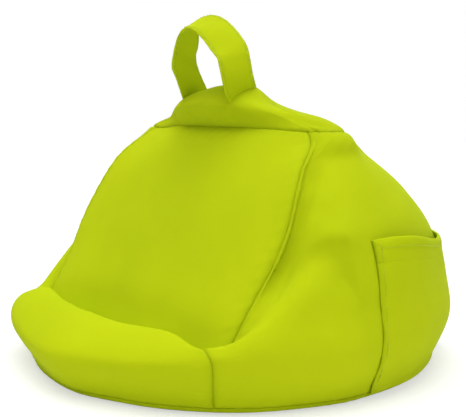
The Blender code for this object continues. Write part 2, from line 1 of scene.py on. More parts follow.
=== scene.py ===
"""Finished look of the tablet cushion stand: a bead-filled cotton cushion with a leaned rest face, a rolled front
lip, a patch pocket, a carrying loop on its cap and a closing zip low on its back.

Metres, +Z up. X runs left to right, the front is at -Y, and the origin is the middle of the base on the floor.
A place on the cover is given by its level, which counts the named rings of the body from the foot to the top of
the cap, and its column, which counts from the front round by the right. Either may be a fraction.
"""

import json
import logging
import math
from collections.abc import Sequence
from dataclasses import dataclass
from enum import Enum

import bmesh
import bpy
import numpy as np
from mathutils import Matrix, Vector

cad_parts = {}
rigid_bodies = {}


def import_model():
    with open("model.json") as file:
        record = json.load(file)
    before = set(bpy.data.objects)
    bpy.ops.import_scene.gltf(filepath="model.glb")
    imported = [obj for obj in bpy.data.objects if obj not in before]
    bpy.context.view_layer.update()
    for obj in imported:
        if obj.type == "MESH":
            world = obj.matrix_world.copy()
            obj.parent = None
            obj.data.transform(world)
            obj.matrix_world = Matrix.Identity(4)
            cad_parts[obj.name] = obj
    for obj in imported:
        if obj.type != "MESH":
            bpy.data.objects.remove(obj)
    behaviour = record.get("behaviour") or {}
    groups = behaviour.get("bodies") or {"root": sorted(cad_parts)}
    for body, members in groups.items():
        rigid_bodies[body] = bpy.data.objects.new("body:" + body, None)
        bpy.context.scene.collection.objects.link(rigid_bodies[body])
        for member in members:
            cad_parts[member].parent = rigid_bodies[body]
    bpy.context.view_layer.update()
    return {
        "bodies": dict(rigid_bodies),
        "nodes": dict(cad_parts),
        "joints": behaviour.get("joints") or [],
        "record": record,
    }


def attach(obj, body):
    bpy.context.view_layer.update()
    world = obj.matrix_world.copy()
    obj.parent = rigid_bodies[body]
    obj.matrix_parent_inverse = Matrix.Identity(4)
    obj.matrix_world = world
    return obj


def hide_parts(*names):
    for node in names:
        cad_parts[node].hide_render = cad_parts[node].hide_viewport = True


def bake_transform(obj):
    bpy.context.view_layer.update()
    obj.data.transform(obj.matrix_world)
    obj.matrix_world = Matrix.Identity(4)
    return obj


logging.basicConfig(level=logging.INFO, format="%(message)s")
log = logging.getLogger("cushion_stand")

Triple = tuple[float, float, float]
Faces = list[tuple[int, ...]]
Field = np.ndarray
Piece = bpy.types.Object

FULL_TURN = 2.0 * math.pi
SMOOTH_ANGLE = math.radians(35.0)
ORIGIN: Triple = (0.0, 0.0, 0.0)
UP, DOWN = (0.0, 0.0, 1.0), (0.0, 0.0, -1.0)

# Levels and columns of the body's named rings and seams
RIM, TROUGH, RIDGE, TOP, BASE_SEAM = 4, 5, 9, 11, 1.5
EDGE, BACK, ROUND = 3, 9, 22


# --- Shader sockets as expressions ---


@dataclass(frozen=True)
class Wire:
    """A node's output that takes part in plain expressions."""

    paint: "Paint"
    socket: bpy.types.NodeSocket

    def _math(self, operation: str, *values: "Wire | float") -> "Wire":
        """Add one Math node."""
        return self.paint.node("ShaderNodeMath", {"operation": operation}, dict(enumerate(values)))

    def __add__(self, other: "Wire | float") -> "Wire":
        """Sum."""
        return self._math("ADD", self, other)

    def __sub__(self, other: "Wire | float") -> "Wire":
        """Difference."""
        return self._math("SUBTRACT", self, other)

    def __mul__(self, other: "Wire | float") -> "Wire":
        """Product."""
        return self._math("MULTIPLY", self, other)

    def sine(self) -> "Wire":
        """Sine of a value in radians."""
        return self._math("SINE", self)

    def absolute(self) -> "Wire":
        """Size without its sign."""
        return self._math("ABSOLUTE", self)

    def clamp(self) -> "Wire":
        """The value held between 0 and 1."""
        return self._math("MINIMUM", self._math("MAXIMUM", self, 0.0), 1.0)


class Paint:
    """One procedural material and the expressions that drive it."""

    def __init__(self, name: str) -> None:
        """Make the material with its Principled shader."""
        self.material = bpy.data.materials.new(name)
        self.material.use_nodes = True
        self.tree = self.material.node_tree
        self.shader = self.tree.nodes["Principled BSDF"]

    def node(
        self,
        kind: str,
        settings: dict[str, object] | None = None,
        values: dict[str | int, object] | None = None,
        output: str | int = 0,
    ) -> Wire:
        """Add any node.

        Args:
            kind: The node's type.
            settings: Its settings by name. A ramp's stops are given as "stops", pairs of place and colour.
            values: Its inputs by name or number, each a number, a tuple or a Wire.
            output: The output that is used.

        Returns:
            That output.
        """
        made = self.tree.nodes.new(kind)
        for name, value in (settings or {}).items():
            if name == "stops":
                for element, (place, colour) in zip(made.color_ramp.elements, value):
                    element.position, element.color = place, (*colour, 1.0)
            else:
                setattr(made, name, value)
        for key, value in (values or {}).items():
            self.feed(made.inputs[key], value)
        return Wire(self, made.outputs[output])

    def feed(self, socket: bpy.types.NodeSocket, value: object) -> None:
        """Link a Wire to a socket, or set the socket's own value."""
        if isinstance(value, Wire):
            self.tree.links.new(value.socket, socket)
        elif isinstance(value, tuple) and socket.type == "RGBA":
            socket.default_value = (*value, 1.0)
        else:
            socket.default_value = value

    def surface(self, values: dict[str, object]) -> None:
        """Feed the shader's sockets."""
        for name, value in values.items():
            self.feed(self.shader.inputs[name], value)

    def place(self, mapping: str = "Object") -> Wire:
        """The coordinates of the point that is shaded."""
        return self.node("ShaderNodeTexCoord", output=mapping)

    def noise(self, at: Wire, scale: float, detail: float = 2.0, rough: float = 0.5) -> Wire:
        """Smooth noise from 0 to 1.

        Args:
            at: The coordinates.
            scale: Its lumps for each metre.
            detail: Its finer layers.
            rough: How strong these are.

        Returns:
            The noise.
        """
        values = {"Vector": at, "Scale": scale, "Detail": detail, "Roughness": rough}
        return self.node("ShaderNodeTexNoise", values=values, output="Fac")

    def axis(self, at: Wire, name: str) -> Wire:
        """One coordinate of a vector."""
        return self.node("ShaderNodeSeparateXYZ", values={"Vector": at}, output=name)

    def mix(self, factor: Wire, first: Wire | Triple, second: Wire | Triple) -> Wire:
        """Go from the first colour to the second as the factor goes from 0 to 1."""
        return self.node("ShaderNodeMix", {"data_type": "RGBA"}, {0: factor, 6: first, 7: second}, 2)

    def bump(self, height: Wire, distance: float, strength: float) -> Wire:
        """A normal from a height."""
        return self.node("ShaderNodeBump", values={"Height": height, "Distance": distance, "Strength": strength})


# --- Finishes ---


@dataclass(frozen=True)
class Finish:
    """A procedural look between a deep and a light shade."""

    name: str
    light: Triple
    deep: Triple

    def material(self) -> bpy.types.Material:
        """Build the node tree.

        Returns:
            The finished material.
        """
        paint = Paint(self.name)
        paint.surface(self.coat(paint))
        return paint.material

    def shades(self, paint: Paint, factor: Wire, low: float = 0.3, high: float = 0.7) -> Wire:
        """The deep shade below the low factor, the light one above the high factor."""
        stops = ((low, self.deep), (high, self.light))
        return paint.node("ShaderNodeValToRGB", {"stops": stops}, {"Fac": factor}, "Color")

    def coat(self, paint: Paint) -> dict[str, object]:
        """What the shader's sockets get, by name."""
        raise NotImplementedError


@dataclass(frozen=True)
class CanvasFinish(Finish):
    """Plain-woven dyed cotton, with its threads along the piece's own cloth map."""

    light: Triple = (0.598, 0.705, 0.0050)
    deep: Triple = (0.505, 0.628, 0.0038)
    # The colour of the painted shade along seams and stitch lines, where the cloth dips in
    seam: Triple = (0.400, 0.505, 0.0030)
    thread: float = 0.00062
    unevenness: float = 2.2
    roughness: float = 0.81

    def coat(self, paint: Paint) -> dict[str, object]:
        """Woven threads, painted shade along the seams and a soft sheen."""
        cloth, solid = paint.place("UV"), paint.place()
        slub = paint.noise(cloth, scale=260.0) * self.unevenness
        warp, weft = ((paint.axis(cloth, name) * (FULL_TURN / self.thread) + slub).sine() for name in "XY")
        weave = warp * weft * 0.5 + 0.5
        yarns = (warp.absolute() + weft.absolute()) * 0.5
        wide = paint.noise(solid, scale=9.0, detail=3.0, rough=0.55)
        fibre = paint.noise(cloth, scale=1400.0, detail=3.0, rough=0.6)
        shade = (wide * 0.75 + fibre * 0.25 + weave * 0.18 - 0.09).clamp()
        # Painted shade along the seams and stitch lines, broken up by noise
        edge = paint.node("ShaderNodeAttribute", {"attribute_name": "seam"}, output="Fac")
        painted_seam_shade = (edge * (paint.noise(solid, scale=70.0) * 0.5 + 0.55)).clamp()
        return {
            "Base Color": paint.mix(painted_seam_shade, self.shades(paint, shade), self.seam),
            "Roughness": fibre * 0.10 + self.roughness,
            "Normal": paint.bump(weave * 0.55 + yarns * 0.25 + fibre * 0.20, distance=0.00016, strength=0.75),
            "Sheen Weight": 0.05,
            "Sheen Roughness": 0.5,
            "Sheen Tint": (0.80, 0.95, 0.08),
            "Specular IOR Level": 0.07,
        }


@dataclass(frozen=True)
class LinerFinish(Finish):
    """Thin undyed lining over the bead fill, dimpled by the beads under it."""

    light: Triple = (0.80, 0.80, 0.77)
    deep: Triple = (0.66, 0.66, 0.62)
    bead: float = 0.0030

    def coat(self, paint: Paint) -> dict[str, object]:
        """Bead dimples under a fine fibre."""
        at = paint.place()
        beads = paint.node("ShaderNodeTexVoronoi", values={"Vector": at, "Scale": 1.0 / self.bead}, output="Distance")
        fibre = paint.noise(at, scale=900.0)
        shade = (paint.noise(at, scale=22.0, detail=3.0) * 0.7 + fibre * 0.3).clamp()
        return {
            "Base Color": self.shades(paint, shade),
            "Roughness": fibre * 0.1 + 0.82,
            "Normal": paint.bump(beads * -0.7 + fibre * 0.3, distance=0.0006, strength=0.6),
        }


@dataclass(frozen=True)
class TapeFinish(Finish):
    """Tight twill tape of a zip."""

    light: Triple = (0.470, 0.590, 0.010)
    deep: Triple = (0.370, 0.480, 0.008)
    rib: float = 0.00070

    def coat(self, paint: Paint) -> dict[str, object]:
        """Slanted ribs of twill."""
        cloth = paint.place("UV")
        slant = (paint.axis(cloth, "X") + paint.axis(cloth, "Y")) * (FULL_TURN / self.rib)
        twill = slant.sine() * 0.5 + 0.5
        fibre = paint.noise(cloth, scale=1600.0)
        return {
            "Base Color": self.shades(paint, twill * 0.6 + fibre * 0.4, 0.2, 0.8),
            "Roughness": fibre * 0.1 + 0.78,
            "Normal": paint.bump(twill, distance=0.00012, strength=0.7),
        }


@dataclass(frozen=True)
class ThreadFinish(Finish):
    """Twisted polyester sewing thread."""

    light: Triple = (0.570, 0.680, 0.006)
    deep: Triple = (0.470, 0.580, 0.005)
    twist: float = 0.00050

    def coat(self, paint: Paint) -> dict[str, object]:
        """The plies of the twist."""
        at = paint.place()
        slant = (paint.axis(at, "X") + paint.axis(at, "Y") + paint.axis(at, "Z")) * (FULL_TURN / self.twist)
        ply = slant.sine() * 0.5 + 0.5
        return {
            "Base Color": self.shades(paint, ply, 0.1, 0.9),
            "Roughness": ply * 0.15 + 0.45,
            "Normal": paint.bump(ply, distance=0.00010, strength=0.6),
        }


@dataclass(frozen=True)
class NylonFinish(Finish):
    """Moulded nylon of the zip's coil."""

    light: Triple = (0.430, 0.560, 0.012)
    deep: Triple = (0.340, 0.455, 0.010)

    def coat(self, paint: Paint) -> dict[str, object]:
        """A faint haze."""
        haze = paint.noise(paint.place(), scale=300.0, detail=3.0)
        return {
            "Base Color": self.shades(paint, haze),
            "Roughness": haze * 0.16 + 0.30,
            "Normal": paint.bump(haze, distance=0.00004, strength=0.5),
        }


@dataclass(frozen=True)
class MetalFinish(Finish):
    """Die-cast, tumbled and nickel-plated zip metal."""

    light: Triple = (0.72, 0.72, 0.73)
    deep: Triple = (0.46, 0.46, 0.48)

    def coat(self, paint: Paint) -> dict[str, object]:
        """Cloudy plating with fine scuffs."""
        at = paint.place()
        scuffs = paint.noise(at, scale=1800.0, detail=3.0, rough=0.6)
        cloud = paint.noise(at, scale=220.0)
        return {
            "Base Color": self.shades(paint, cloud * 0.6 + scuffs * 0.4, 0.3, 0.75),
            "Metallic": 1.0,
            "Roughness": scuffs * 0.22 + 0.22,
            "Normal": paint.bump(scuffs, distance=0.00003, strength=0.5),
        }


class Slot(Enum):
    """The record's material slots."""

    COTTON = "green_cotton"
    LINER = "bead_bag_liner"
    TAPE = "zip_tape"
    NYLON = "zip_nylon"
    METAL = "zip_metal"


class Body(Enum):
    """The moving bodies of the stand."""

    CUSHION = "cushion"
    LOOP = "loop"
    SLIDER = "slider"
    PULL = "pull"


class Wardrobe:
    """Every material of the stand, made once."""

    def __init__(self) -> None:
        """Build the materials."""
        self.finishes = {
            Slot.COTTON.value: CanvasFinish("green_cotton_canvas").material(),
            Slot.LINER.value: LinerFinish("bead_bag_lining").material(),
            Slot.TAPE.value: TapeFinish("zip_tape_twill").material(),
            Slot.NYLON.value: NylonFinish("zip_coil_nylon").material(),
            Slot.METAL.value: MetalFinish("zip_metal_nickel").material(),
            "thread": ThreadFinish("sewing_thread").material(),
        }

    def dress(
        self,
        piece: Piece,
        slot: Slot,
        body: Body | None,
        replaces: str | None = None,
        fill: float | None = None,
        finish: str | None = None,
    ) -> None:
        """Give a piece the material of its slot, and its body.

        Args:
            piece: The finished piece.
            slot: The record's slot that it stands for.
            body: The body that it rides on, or None where it is left on no body.
            replaces: The node that it stands for.
            fill: How tightly it is padded, for a soft piece. Not used.
            finish: Another finish than the slot's own.
        """
        piece.data.materials.clear()
        piece.data.materials.append(self.finishes[finish or slot.value])
        if body is not None:
            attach(piece, body.value)
        if replaces is not None:
            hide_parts(replaces)
        log.info("%s: %d faces, %s", piece.name, len(piece.data.polygons), slot.value)


# --- Measures ---


def bell(away: Field, width: float) -> Field:
    """A round hump, 1 at no distance and nearly nothing at two widths."""
    return np.exp(-((away / width) ** 2))


def climbing(value: Field, start: float, end: float) -> Field:
    """A straight climb from 0 at the start to 1 at the end."""
    return np.clip((value - start) / (end - start), 0.0, 1.0)


def eased(share: Field) -> Field:
    """A share with a soft start and end."""
    return share * share * (3.0 - 2.0 * share)


def unit(vectors: Field) -> Field:
    """Vectors brought to length 1."""
    return vectors / np.maximum(np.linalg.norm(vectors, axis=-1, keepdims=True), 1e-12)


def runs_along(points: Field, axis: int = 0) -> Field:
    """Lengths along lines of points, from 0 at the start of each."""
    lengths = np.linalg.norm(np.diff(points, axis=axis), axis=-1).cumsum(axis=axis)
    return np.concatenate([np.zeros_like(np.take(lengths, [0], axis=axis)), lengths], axis=axis)


def read_at(at: Field | float, runs: Field, *lines: Field) -> list[Field]:
    """Points or directions of each line at a length along it.

    Args:
        at: The lengths.
        runs: The length of each of the lines' points.
        lines: The lines' values.

    Returns:
        Each line's values there.
    """
    return [np.stack([np.interp(at, runs, line[:, axis]) for axis in range(3)], axis=-1) for line in lines]


def curve_weights(part: Field) -> list[Field]:
    """The shares of four neighbours in a smooth curve.

    Args:
        part: How far between the middle two, 0 to 1.

    Returns:
        One array of shares for each neighbour.
    """
    square, cube = part**2, part**3
    return [
        0.5 * (-part + 2 * square - cube),
        0.5 * (2 - 5 * square + 3 * cube),
        0.5 * (part + 4 * square - 3 * cube),
        0.5 * (cube - square),
    ]


# --- Meshes ---


def grid_faces(rows: int, columns: int, wraps: bool) -> Faces:
    """The faces of a sheet of points laid out by row and column.

    Args:
        rows: The number of rows.
        columns: The number of columns.
        wraps: Whether the last column meets the first.

    Returns:
        The faces as point numbers.
    """
    return [
        (row + at, row + (at + 1) % columns, row + columns + (at + 1) % columns, row + columns + at)
        for row in range(0, (rows - 1) * columns, columns)
        for at in range(columns if wraps else columns - 1)
    ]


def fan_faces(first: int, count: int, tip: int, back: bool = False) -> Faces:
    """Triangles from a ring of points to one tip, turned the other way where it is the back."""
    pairs = [(first + at, first + (at + 1) % count) for at in range(count)]
    return [(end, start, tip) if back else (start, end, tip) for start, end in pairs]


def tube(spine: Field, across: Field, up: Field, radii: Field | float, sides: int) -> Field:
    """Rings of points round the places of a spine.

    Args:
        spine: The places.
        across: The direction of each ring's first point, or one for all.
        up: The direction of its second axis.
        radii: The radius of each, or one for all.
        sides: How many points a ring has.

    Returns:
        The points, ring by ring.
    """
    turns = FULL_TURN * np.arange(sides)[:, None] / sides
    rings = np.cos(turns) * across[..., None, :] + np.sin(turns) * up[..., None, :]
    return (spine[:, None] + np.reshape(radii, (-1, 1, 1)) * rings).reshape(-1, 3)


def tube_faces(rings: int, sides: int) -> Faces:
    """The faces of one tube, closed at both ends."""
    ends = [tuple(range(sides))[::-1], tuple(range((rings - 1) * sides, rings * sides))]
    return grid_faces(rings, sides, True) + ends


def new_mesh(name: str, points: Field, faces: Faces) -> Piece:
    """A smooth piece from points and faces."""
    mesh = bpy.data.meshes.new(name)
    mesh.from_pydata(points.tolist(), [], faces)
    mesh.validate()
    mesh.shade_smooth()
    piece = bpy.data.objects.new(name, mesh)
    bpy.context.scene.collection.objects.link(piece)
    return piece


def mend(piece: Piece, merge: float = 0.0, only: Sequence[int] = (), face_out: bool = True) -> Piece:
    """Merge a piece's double points and turn its faces outward.

    Args:
        piece: The closed piece.
        merge: How close two points are that become one, 0 for none.
        only: The numbers of the points that may merge, all where none is named.
        face_out: Whether its faces are turned.

    Returns:
        The piece.
    """
    work = bmesh.new()
    work.from_mesh(piece.data)
    if merge:
        work.verts.ensure_lookup_table()
        doubles = [work.verts[number] for number in only] or work.verts
        bmesh.ops.remove_doubles(work, verts=doubles, dist=merge)
    if face_out:
        bmesh.ops.recalc_face_normals(work, faces=work.faces)
    work.to_mesh(piece.data)
    work.free()
    piece.data.shade_smooth()
    return piece


def repeated(name: str, blocks: Sequence[Field], faces: Faces) -> Piece:
    """One piece of many blocks of points that have the same faces."""
    size = len(blocks[0])
    every = [tuple(first * size + corner for corner in face) for first in range(len(blocks)) for face in faces]
    return mend(new_mesh(name, np.concatenate(blocks), every))


@dataclass
class Sheet:
    """A cloth piece before it is made: its two faces by row and column and its map.

    Attributes:
        outer: The outer points.
        inner: The inner points.
        across: Each point's place across the cloth, in metres.
        along: Each point's place along the cloth.
        seam: How much each point belongs to a seam, 0 to 1, and so how much shade is painted there.
        wraps: Whether it goes all the way round.
        closed: The rows, 0 or -1, that meet in one point.
        pole_merge: How close the points of such a row are, at most.
    """

    outer: Field
    inner: Field
    across: Field
    along: Field
    seam: Field
    wraps: bool = False
    closed: tuple[int, ...] = ()
    pole_merge: float = 1e-5

    def _rims(self, numbers: Field) -> Faces:
        """The faces that close the sheet's edges, from the numbers of its outer points."""
        lines = [(numbers[row], turned) for row, turned in ((0, False), (-1, True)) if row not in self.closed]
        if not self.wraps:
            lines += [(numbers[:, 0], True), (numbers[:, -1], False)]
        faces = []
        for line, turned in lines:
            starts = line.tolist()
            ends = starts[1:] + (starts[:1] if self.wraps else [])
            rim = [(b, a, numbers.size + a, numbers.size + b) for a, b in zip(starts, ends)]
            faces += [face[::-1] for face in rim] if turned else rim
        return faces

    def piece(self, name: str) -> Piece:
        """Make the cloth with both faces and its edges, closed all round.

        Args:
            name: The piece's name.

        Returns:
            The piece.
        """
        rows, columns, _ = self.outer.shape
        numbers = np.arange(rows * columns).reshape(rows, columns)
        faces = grid_faces(rows, columns, self.wraps)
        faces += [tuple(numbers.size + corner for corner in face[::-1]) for face in faces]
        points = np.concatenate([self.outer.reshape(-1, 3), self.inner.reshape(-1, 3)])
        piece = new_mesh(name, points, faces + self._rims(numbers))
        mesh = piece.data
        corners = np.empty(len(mesh.loops), dtype=np.int32)
        mesh.loops.foreach_get("vertex_index", corners)
        pairs = np.tile(np.stack([self.across.ravel(), self.along.ravel()], axis=1), (2, 1))
        mesh.uv_layers.new(name="cloth").uv.foreach_set("vector", pairs[corners].astype(np.float32).ravel())
        kept = mesh.attributes.new("seam", "FLOAT", "POINT")
        kept.data.foreach_set("value", np.tile(self.seam.ravel(), 2).astype(np.float32))
        if self.closed:
            rings = np.concatenate([numbers[row] for row in self.closed])
            mend(piece, self.pole_merge, [*rings, *(rings + numbers.size)], face_out=False)
        return piece


# --- The cover's surface ---

# Each level's height, half width, half depth and middle, as shares of the body's own
LEVELS = {
    "rim": (0.330, 0.978, 0.978, 0.0),
    "trough": (0.440, 0.945, 0.938, 0.0),
    "rest_low": (0.540, 0.893, 0.865, 0.0),
    "rest_mid": (0.640, 0.810, 0.745, 0.0),
    "rest_high": (0.750, 0.717, 0.490, 0.030),
    "ridge": (0.845, 0.640, 0.285, 0.050),
    "cap": (0.940, 0.290, 0.135, -0.035),
}
# Each row of the rest face: its height and its width as shares
REST_ROWS = {
    "rest_low": (0.315, 0.93),
    "rest_mid": (0.520, 0.96),
    "rest_high": (0.710, 0.89),
    "ridge": (0.855, 0.73),
}
REST_COLUMNS = (0.0, 0.34, 0.67, 1.0)
HOLLOWS = {"rest_low": 0.935, "rest_mid": 0.975}
RIM_ENDS: tuple[Triple, ...] = ((0.672, -0.672, 0.215), (0.824, -0.514, 0.268), (0.850, -0.212, 0.405))
TROUGH_ENDS: tuple[Triple, ...] = ((0.686, -0.616, 0.158), (0.786, -0.447, 0.328), (0.822, -0.196, 0.480))
ANGLES = (0, 15, 31, 47, 60, 75, 85, 104, 124, 142, 161, 180)
ARM_COLUMN, SIDE_COLUMN = 4, 5


@dataclass(frozen=True)
class BodyShape:
    """The named rings of the cushion's body, in metres and as shares of its size."""

    width: float = 0.324
    depth: float = 0.322
    height: float = 0.200
    contact_share: float = 0.862
    low_share: float = 0.938
    bulge_height: float = 0.038
    lip_bulge_height: float = 0.030
    low_height: float = 0.0115
    rest_lean: float = math.radians(29.5)
    rest_width: float = 0.248
    rest_foot_from_front: float = 0.060
    trough_height: float = 0.023
    trough_half_width: float = 0.004
    rim_height: float = 0.047
    rim_from_front: float = 0.029
    left_settle: float = 0.008
    settle_shares: tuple[tuple[int, float], ...] = ((2, 0.4), (3, 1.0), (4, 0.6))
    ridge_edge_setback: float = 0.009
    base_inner_share: float = 0.5

    def _ring(self, width: float, depth: float, centre: float = 0.0, height: float = 0.0) -> list[Triple]:
        """The right half of a round ring, its width and depth given as shares."""
        turns = [math.radians(degrees) for degrees in ANGLES]
        half, reach = width * self.width / 2, depth * self.depth / 2
        return [(half * math.sin(turn), centre - reach * math.cos(turn), height) for turn in turns]

    def _put(self, points: list[Triple], ends: Sequence[Triple]) -> list[Triple]:
        """Set a ring's points from the edge column on, given as shares."""
        for column, (x, y, z) in enumerate(ends, start=EDGE):
            points[column] = (x * self.width / 2, y * self.depth / 2, z * self.height)
        return points

    def _low(self, share: float, height: float, front: float) -> list[Triple]:
        """The right half of a level below the rim."""
        ahead = [max(0.0, 1.0 - column / SIDE_COLUMN) for column in range(len(ANGLES))]
        ring = self._ring(share, share)
        return [(x, y, height + (front - height) * near) for (x, y, _), near in zip(ring, ahead)]

    def _rim(self) -> list[Triple]:
        """The right half of the lip's crest, the arm and the side behind it."""
        height, width, back, _ = LEVELS["rim"]
        points = self._ring(width, back, 0.0, height * self.height)
        for column in range(EDGE):
            x, y, _ = points[column]
            ahead = math.cos(math.radians(ANGLES[column]))
            points[column] = (x, y + self.rim_from_front * ahead**2, self.rim_height)
        return self._put(points, RIM_ENDS)

    def _nest(self, name: str) -> list[Triple]:
        """The right half of a level above the rim."""
        height_share, width, back, centre_share = LEVELS[name]
        height = height_share * self.height
        points = self._ring(width, back, centre_share * self.depth / 2, height)
        if name == "cap":
            return points
        hollow = HOLLOWS.get(name, 1.0)
        x, y, z = points[SIDE_COLUMN]
        points[SIDE_COLUMN] = (hollow * x, hollow * y, z)
        front_share, edge_share = REST_ROWS.get(name, (self.trough_height / self.height, 1.0))
        front = front_share * self.height
        foot = -self.depth / 2 + self.rest_foot_from_front
        for column, share in enumerate(REST_COLUMNS):
            y, z = foot + (front - self.trough_height) * math.tan(self.rest_lean), front
            if name == "trough":
                y -= self.trough_half_width
            if name == "ridge":
                y += self.ridge_edge_setback * share**3
                z += (height - front) * share**3
            points[column] = (share * edge_share * self.rest_width / 2, y, z)
        points[ARM_COLUMN] = tuple((np.array(points[EDGE]) + np.array(points[SIDE_COLUMN])) / 2)
        return self._put(points, TROUGH_ENDS) if name == "trough" else points

    def rings(self) -> Field:
        """Every ring all the way round.

        Returns:
            The rings from the inner foot to the top and the one beyond it, by column, by axis.
        """
        halves = [
            self._low(self.base_inner_share * self.contact_share, 0.0, 0.0),
            self._low(self.contact_share, 0.0, 0.0),
            self._low(self.low_share, self.low_height, self.low_height),
            self._low(1.0, self.bulge_height, self.lip_bulge_height),
            self._rim(),
        ]
        halves += [self._nest(name) for name in LEVELS if name != "rim"]
        rings = [np.array(half + [(-x, y, z) for x, y, z in half[-2:0:-1]]) for half in halves]
        for column, share in self.settle_shares:
            rings[RIM][ROUND - column][2] -= self.left_settle * share
        top = np.tile((0.0, LEVELS["cap"][3] * self.depth / 2, self.height), (ROUND, 1))
        return np.array(rings + [top, np.roll(rings[-1], ROUND // 2, axis=0)])


@dataclass
class Lattice:
    """Values on the rings by level and column, read smoothly between them."""

    values: Field
    steps: int

    def at(self, level: Field, column: Field) -> Field:
        """The value at places on the cover.

        Args:
            level: Levels from 0, the inner foot ring, to the top.
            column: Columns, the same shape.

        Returns:
            The values, with one more axis.
        """
        rows, columns, _ = self.values.shape
        down = np.clip(level * self.steps, 0.0, rows - 2.0)
        row = np.floor(down).astype(int)
        side = np.mod(column, ROUND) * self.steps
        first = np.floor(side).astype(int)
        total = 0.0
        for step_row, row_share in enumerate(curve_weights(down - row)):
            rows_at = np.clip(row + step_row - 1, 0, rows - 1)
            for step, share in enumerate(curve_weights(side - first)):
                part = self.values[rows_at, (first + step - 1) % columns]
                total = total + (row_share * share)[..., None] * part
        return total


CLOTH_SETTINGS = {
    "quality": 6,
    "use_pressure": True,
    "uniform_pressure_force": 4.0,
    "vertex_group_mass": "held",
    "tension_stiffness": 12.0,
    "compression_stiffness": 6.0,
    "bending_stiffness": 0.4,
}


@dataclass(frozen=True)
class Filling:
    """The swell that the bead fill gives the cover, found by cloth simulation on the closed body."""

    steps: int = 3
    frames: int = 20
    centre: Triple = (0.0, 0.0, 0.070)
    start_depth: float = 0.0022
    cap: float = 0.0055
    tip_hold: float = 0.2

    def swell(self, rings: Lattice, quick: bool) -> Lattice:
        """Blow the body up under pressure with its seams held.

        Args:
            rings: The body's rings.
            quick: Whether the simulation is skipped.

        Returns:
            How far each place moves.
        """
        level, column = np.meshgrid(
            np.arange(TOP * self.steps + 1) / self.steps, np.arange(ROUND * self.steps) / self.steps, indexing="ij"
        )
        start = rings.at(level, column)
        start[..., 2] = np.where(level <= 1.0, 0.0, start[..., 2])
        moved = np.zeros_like(start)
        if not quick:
            inward = -unit(start - np.array(self.centre)) * (self.start_depth * climbing(level, 1.0, 2.5))[..., None]
            moved = self._simulate(start + inward, self._held(level, column)) - start
            moved -= moved * np.clip(1.6 - level, 0.0, 1.0)[..., None]
        beyond = np.roll(moved[-1 - self.steps: -1][::-1], ROUND * self.steps // 2, axis=1)
        return Lattice(np.concatenate([moved, beyond]), self.steps)

    def _held(self, level: Field, column: Field) -> Field:
        """How firmly each point is held: the base wholly, the trough and the panel seams in part."""
        from_front = np.minimum(column, ROUND - column)
        upright = 0.55 * (level > 1.4) * (level < RIDGE)
        return np.maximum.reduce([
            (level <= 1.0).astype(float),
            bell(level - TROUGH, 0.30) * (from_front < 4.2),
            bell(level - RIDGE, 0.22) * 0.75,
            bell(from_front - EDGE, 0.22) * upright,
            bell(from_front - BACK, 0.22) * upright,
        ])

    def _simulate(self, start: Field, held: Field) -> Field:
        """Run Cloth on a closed copy and read where it ends.

        Args:
            start: The points by row and column.
            held: How firmly each is pinned.

        Returns:
            The points after it, each moved no further than the cap.
        """
        rows, columns, _ = start.shape
        tip = (rows - 1) * columns
        points = np.concatenate([start[:-1].reshape(-1, 3), start[-1, :1], [ORIGIN]])
        faces = grid_faces(rows - 1, columns, True)
        faces += fan_faces(tip - columns, columns, tip) + fan_faces(0, columns, tip + 1, back=True)
        copy = new_mesh("filling", points, faces)
        pins = copy.vertex_groups.new(name=CLOTH_SETTINGS["vertex_group_mass"])
        for number, weight in enumerate([*held[:-1].ravel(), self.tip_hold, 1.0]):
            if weight > 0.01:
                pins.add([number], float(weight), "REPLACE")
        cloth = copy.modifiers.new("cloth", "CLOTH")
        for name, value in CLOTH_SETTINGS.items():
            setattr(cloth.settings, name, value)
        cloth.settings.effector_weights.gravity = 0.0
        cloth.point_cache.frame_start = 1
        cloth.point_cache.frame_end = self.frames
        scene = bpy.context.scene
        for frame in range(1, self.frames + 1):
            scene.frame_set(frame)
        settled = copy.evaluated_get(bpy.context.evaluated_depsgraph_get()).to_mesh()
        ends = np.empty(len(settled.vertices) * 3)
        settled.vertices.foreach_get("co", ends)
        scene.frame_set(1)
        bpy.data.objects.remove(copy, do_unlink=True)
        step = ends.reshape(-1, 3) - points
        length = np.linalg.norm(step, axis=1, keepdims=True)
        log.info("filling: mean move %.1f mm, most %.1f mm", length.mean() * 1000, length.max() * 1000)
        after = points + step * (self.cap * np.tanh(length / self.cap) / np.maximum(length, 1e-9))
        return np.concatenate([after[:tip], np.tile(after[tip], (columns, 1))]).reshape(rows, columns, 3)


@dataclass(frozen=True)
class Fold:
    """A soft fold or valley of the cover along a line of points."""

    line: tuple[Triple, ...]
    height: float
    width: float
    taper: float = 0.25
    end_share: float = 0.15

    def lift(self, points: Field) -> Field:
        """How far the fold lifts each point.

        Args:
            points: Places in metres.

        Returns:
            The lift of each.
        """
        ends = np.array(self.line)
        runs = runs_along(ends)
        best = np.full(len(points), np.inf)
        along = np.zeros(len(points))
        for start, span, run in zip(ends, np.diff(ends, axis=0), runs):
            length = np.linalg.norm(span)
            part = np.clip(((points - start) @ span) / length**2, 0.0, 1.0)
            distance = np.linalg.norm(points - start - part[:, None] * span, axis=1)
            closer = distance < best
            best = np.where(closer, distance, best)
            along = np.where(closer, (run + part * length) / runs[-1], along)
        fade = eased(climbing(np.minimum(along, 1.0 - along), 0.0, self.taper))
        return self.height * (self.end_share + (1.0 - self.end_share) * fade) * bell(best, self.width)


@dataclass(frozen=True)
class Swell:
    """A soft round fullness or hollow of the cover about one place."""

    centre: Triple
    height: float
    width: float

    def lift(self, points: Field) -> Field:
        """How far it lifts each point."""
        return self.height * bell(np.linalg.norm(points - np.array(self.centre), axis=1), self.width)


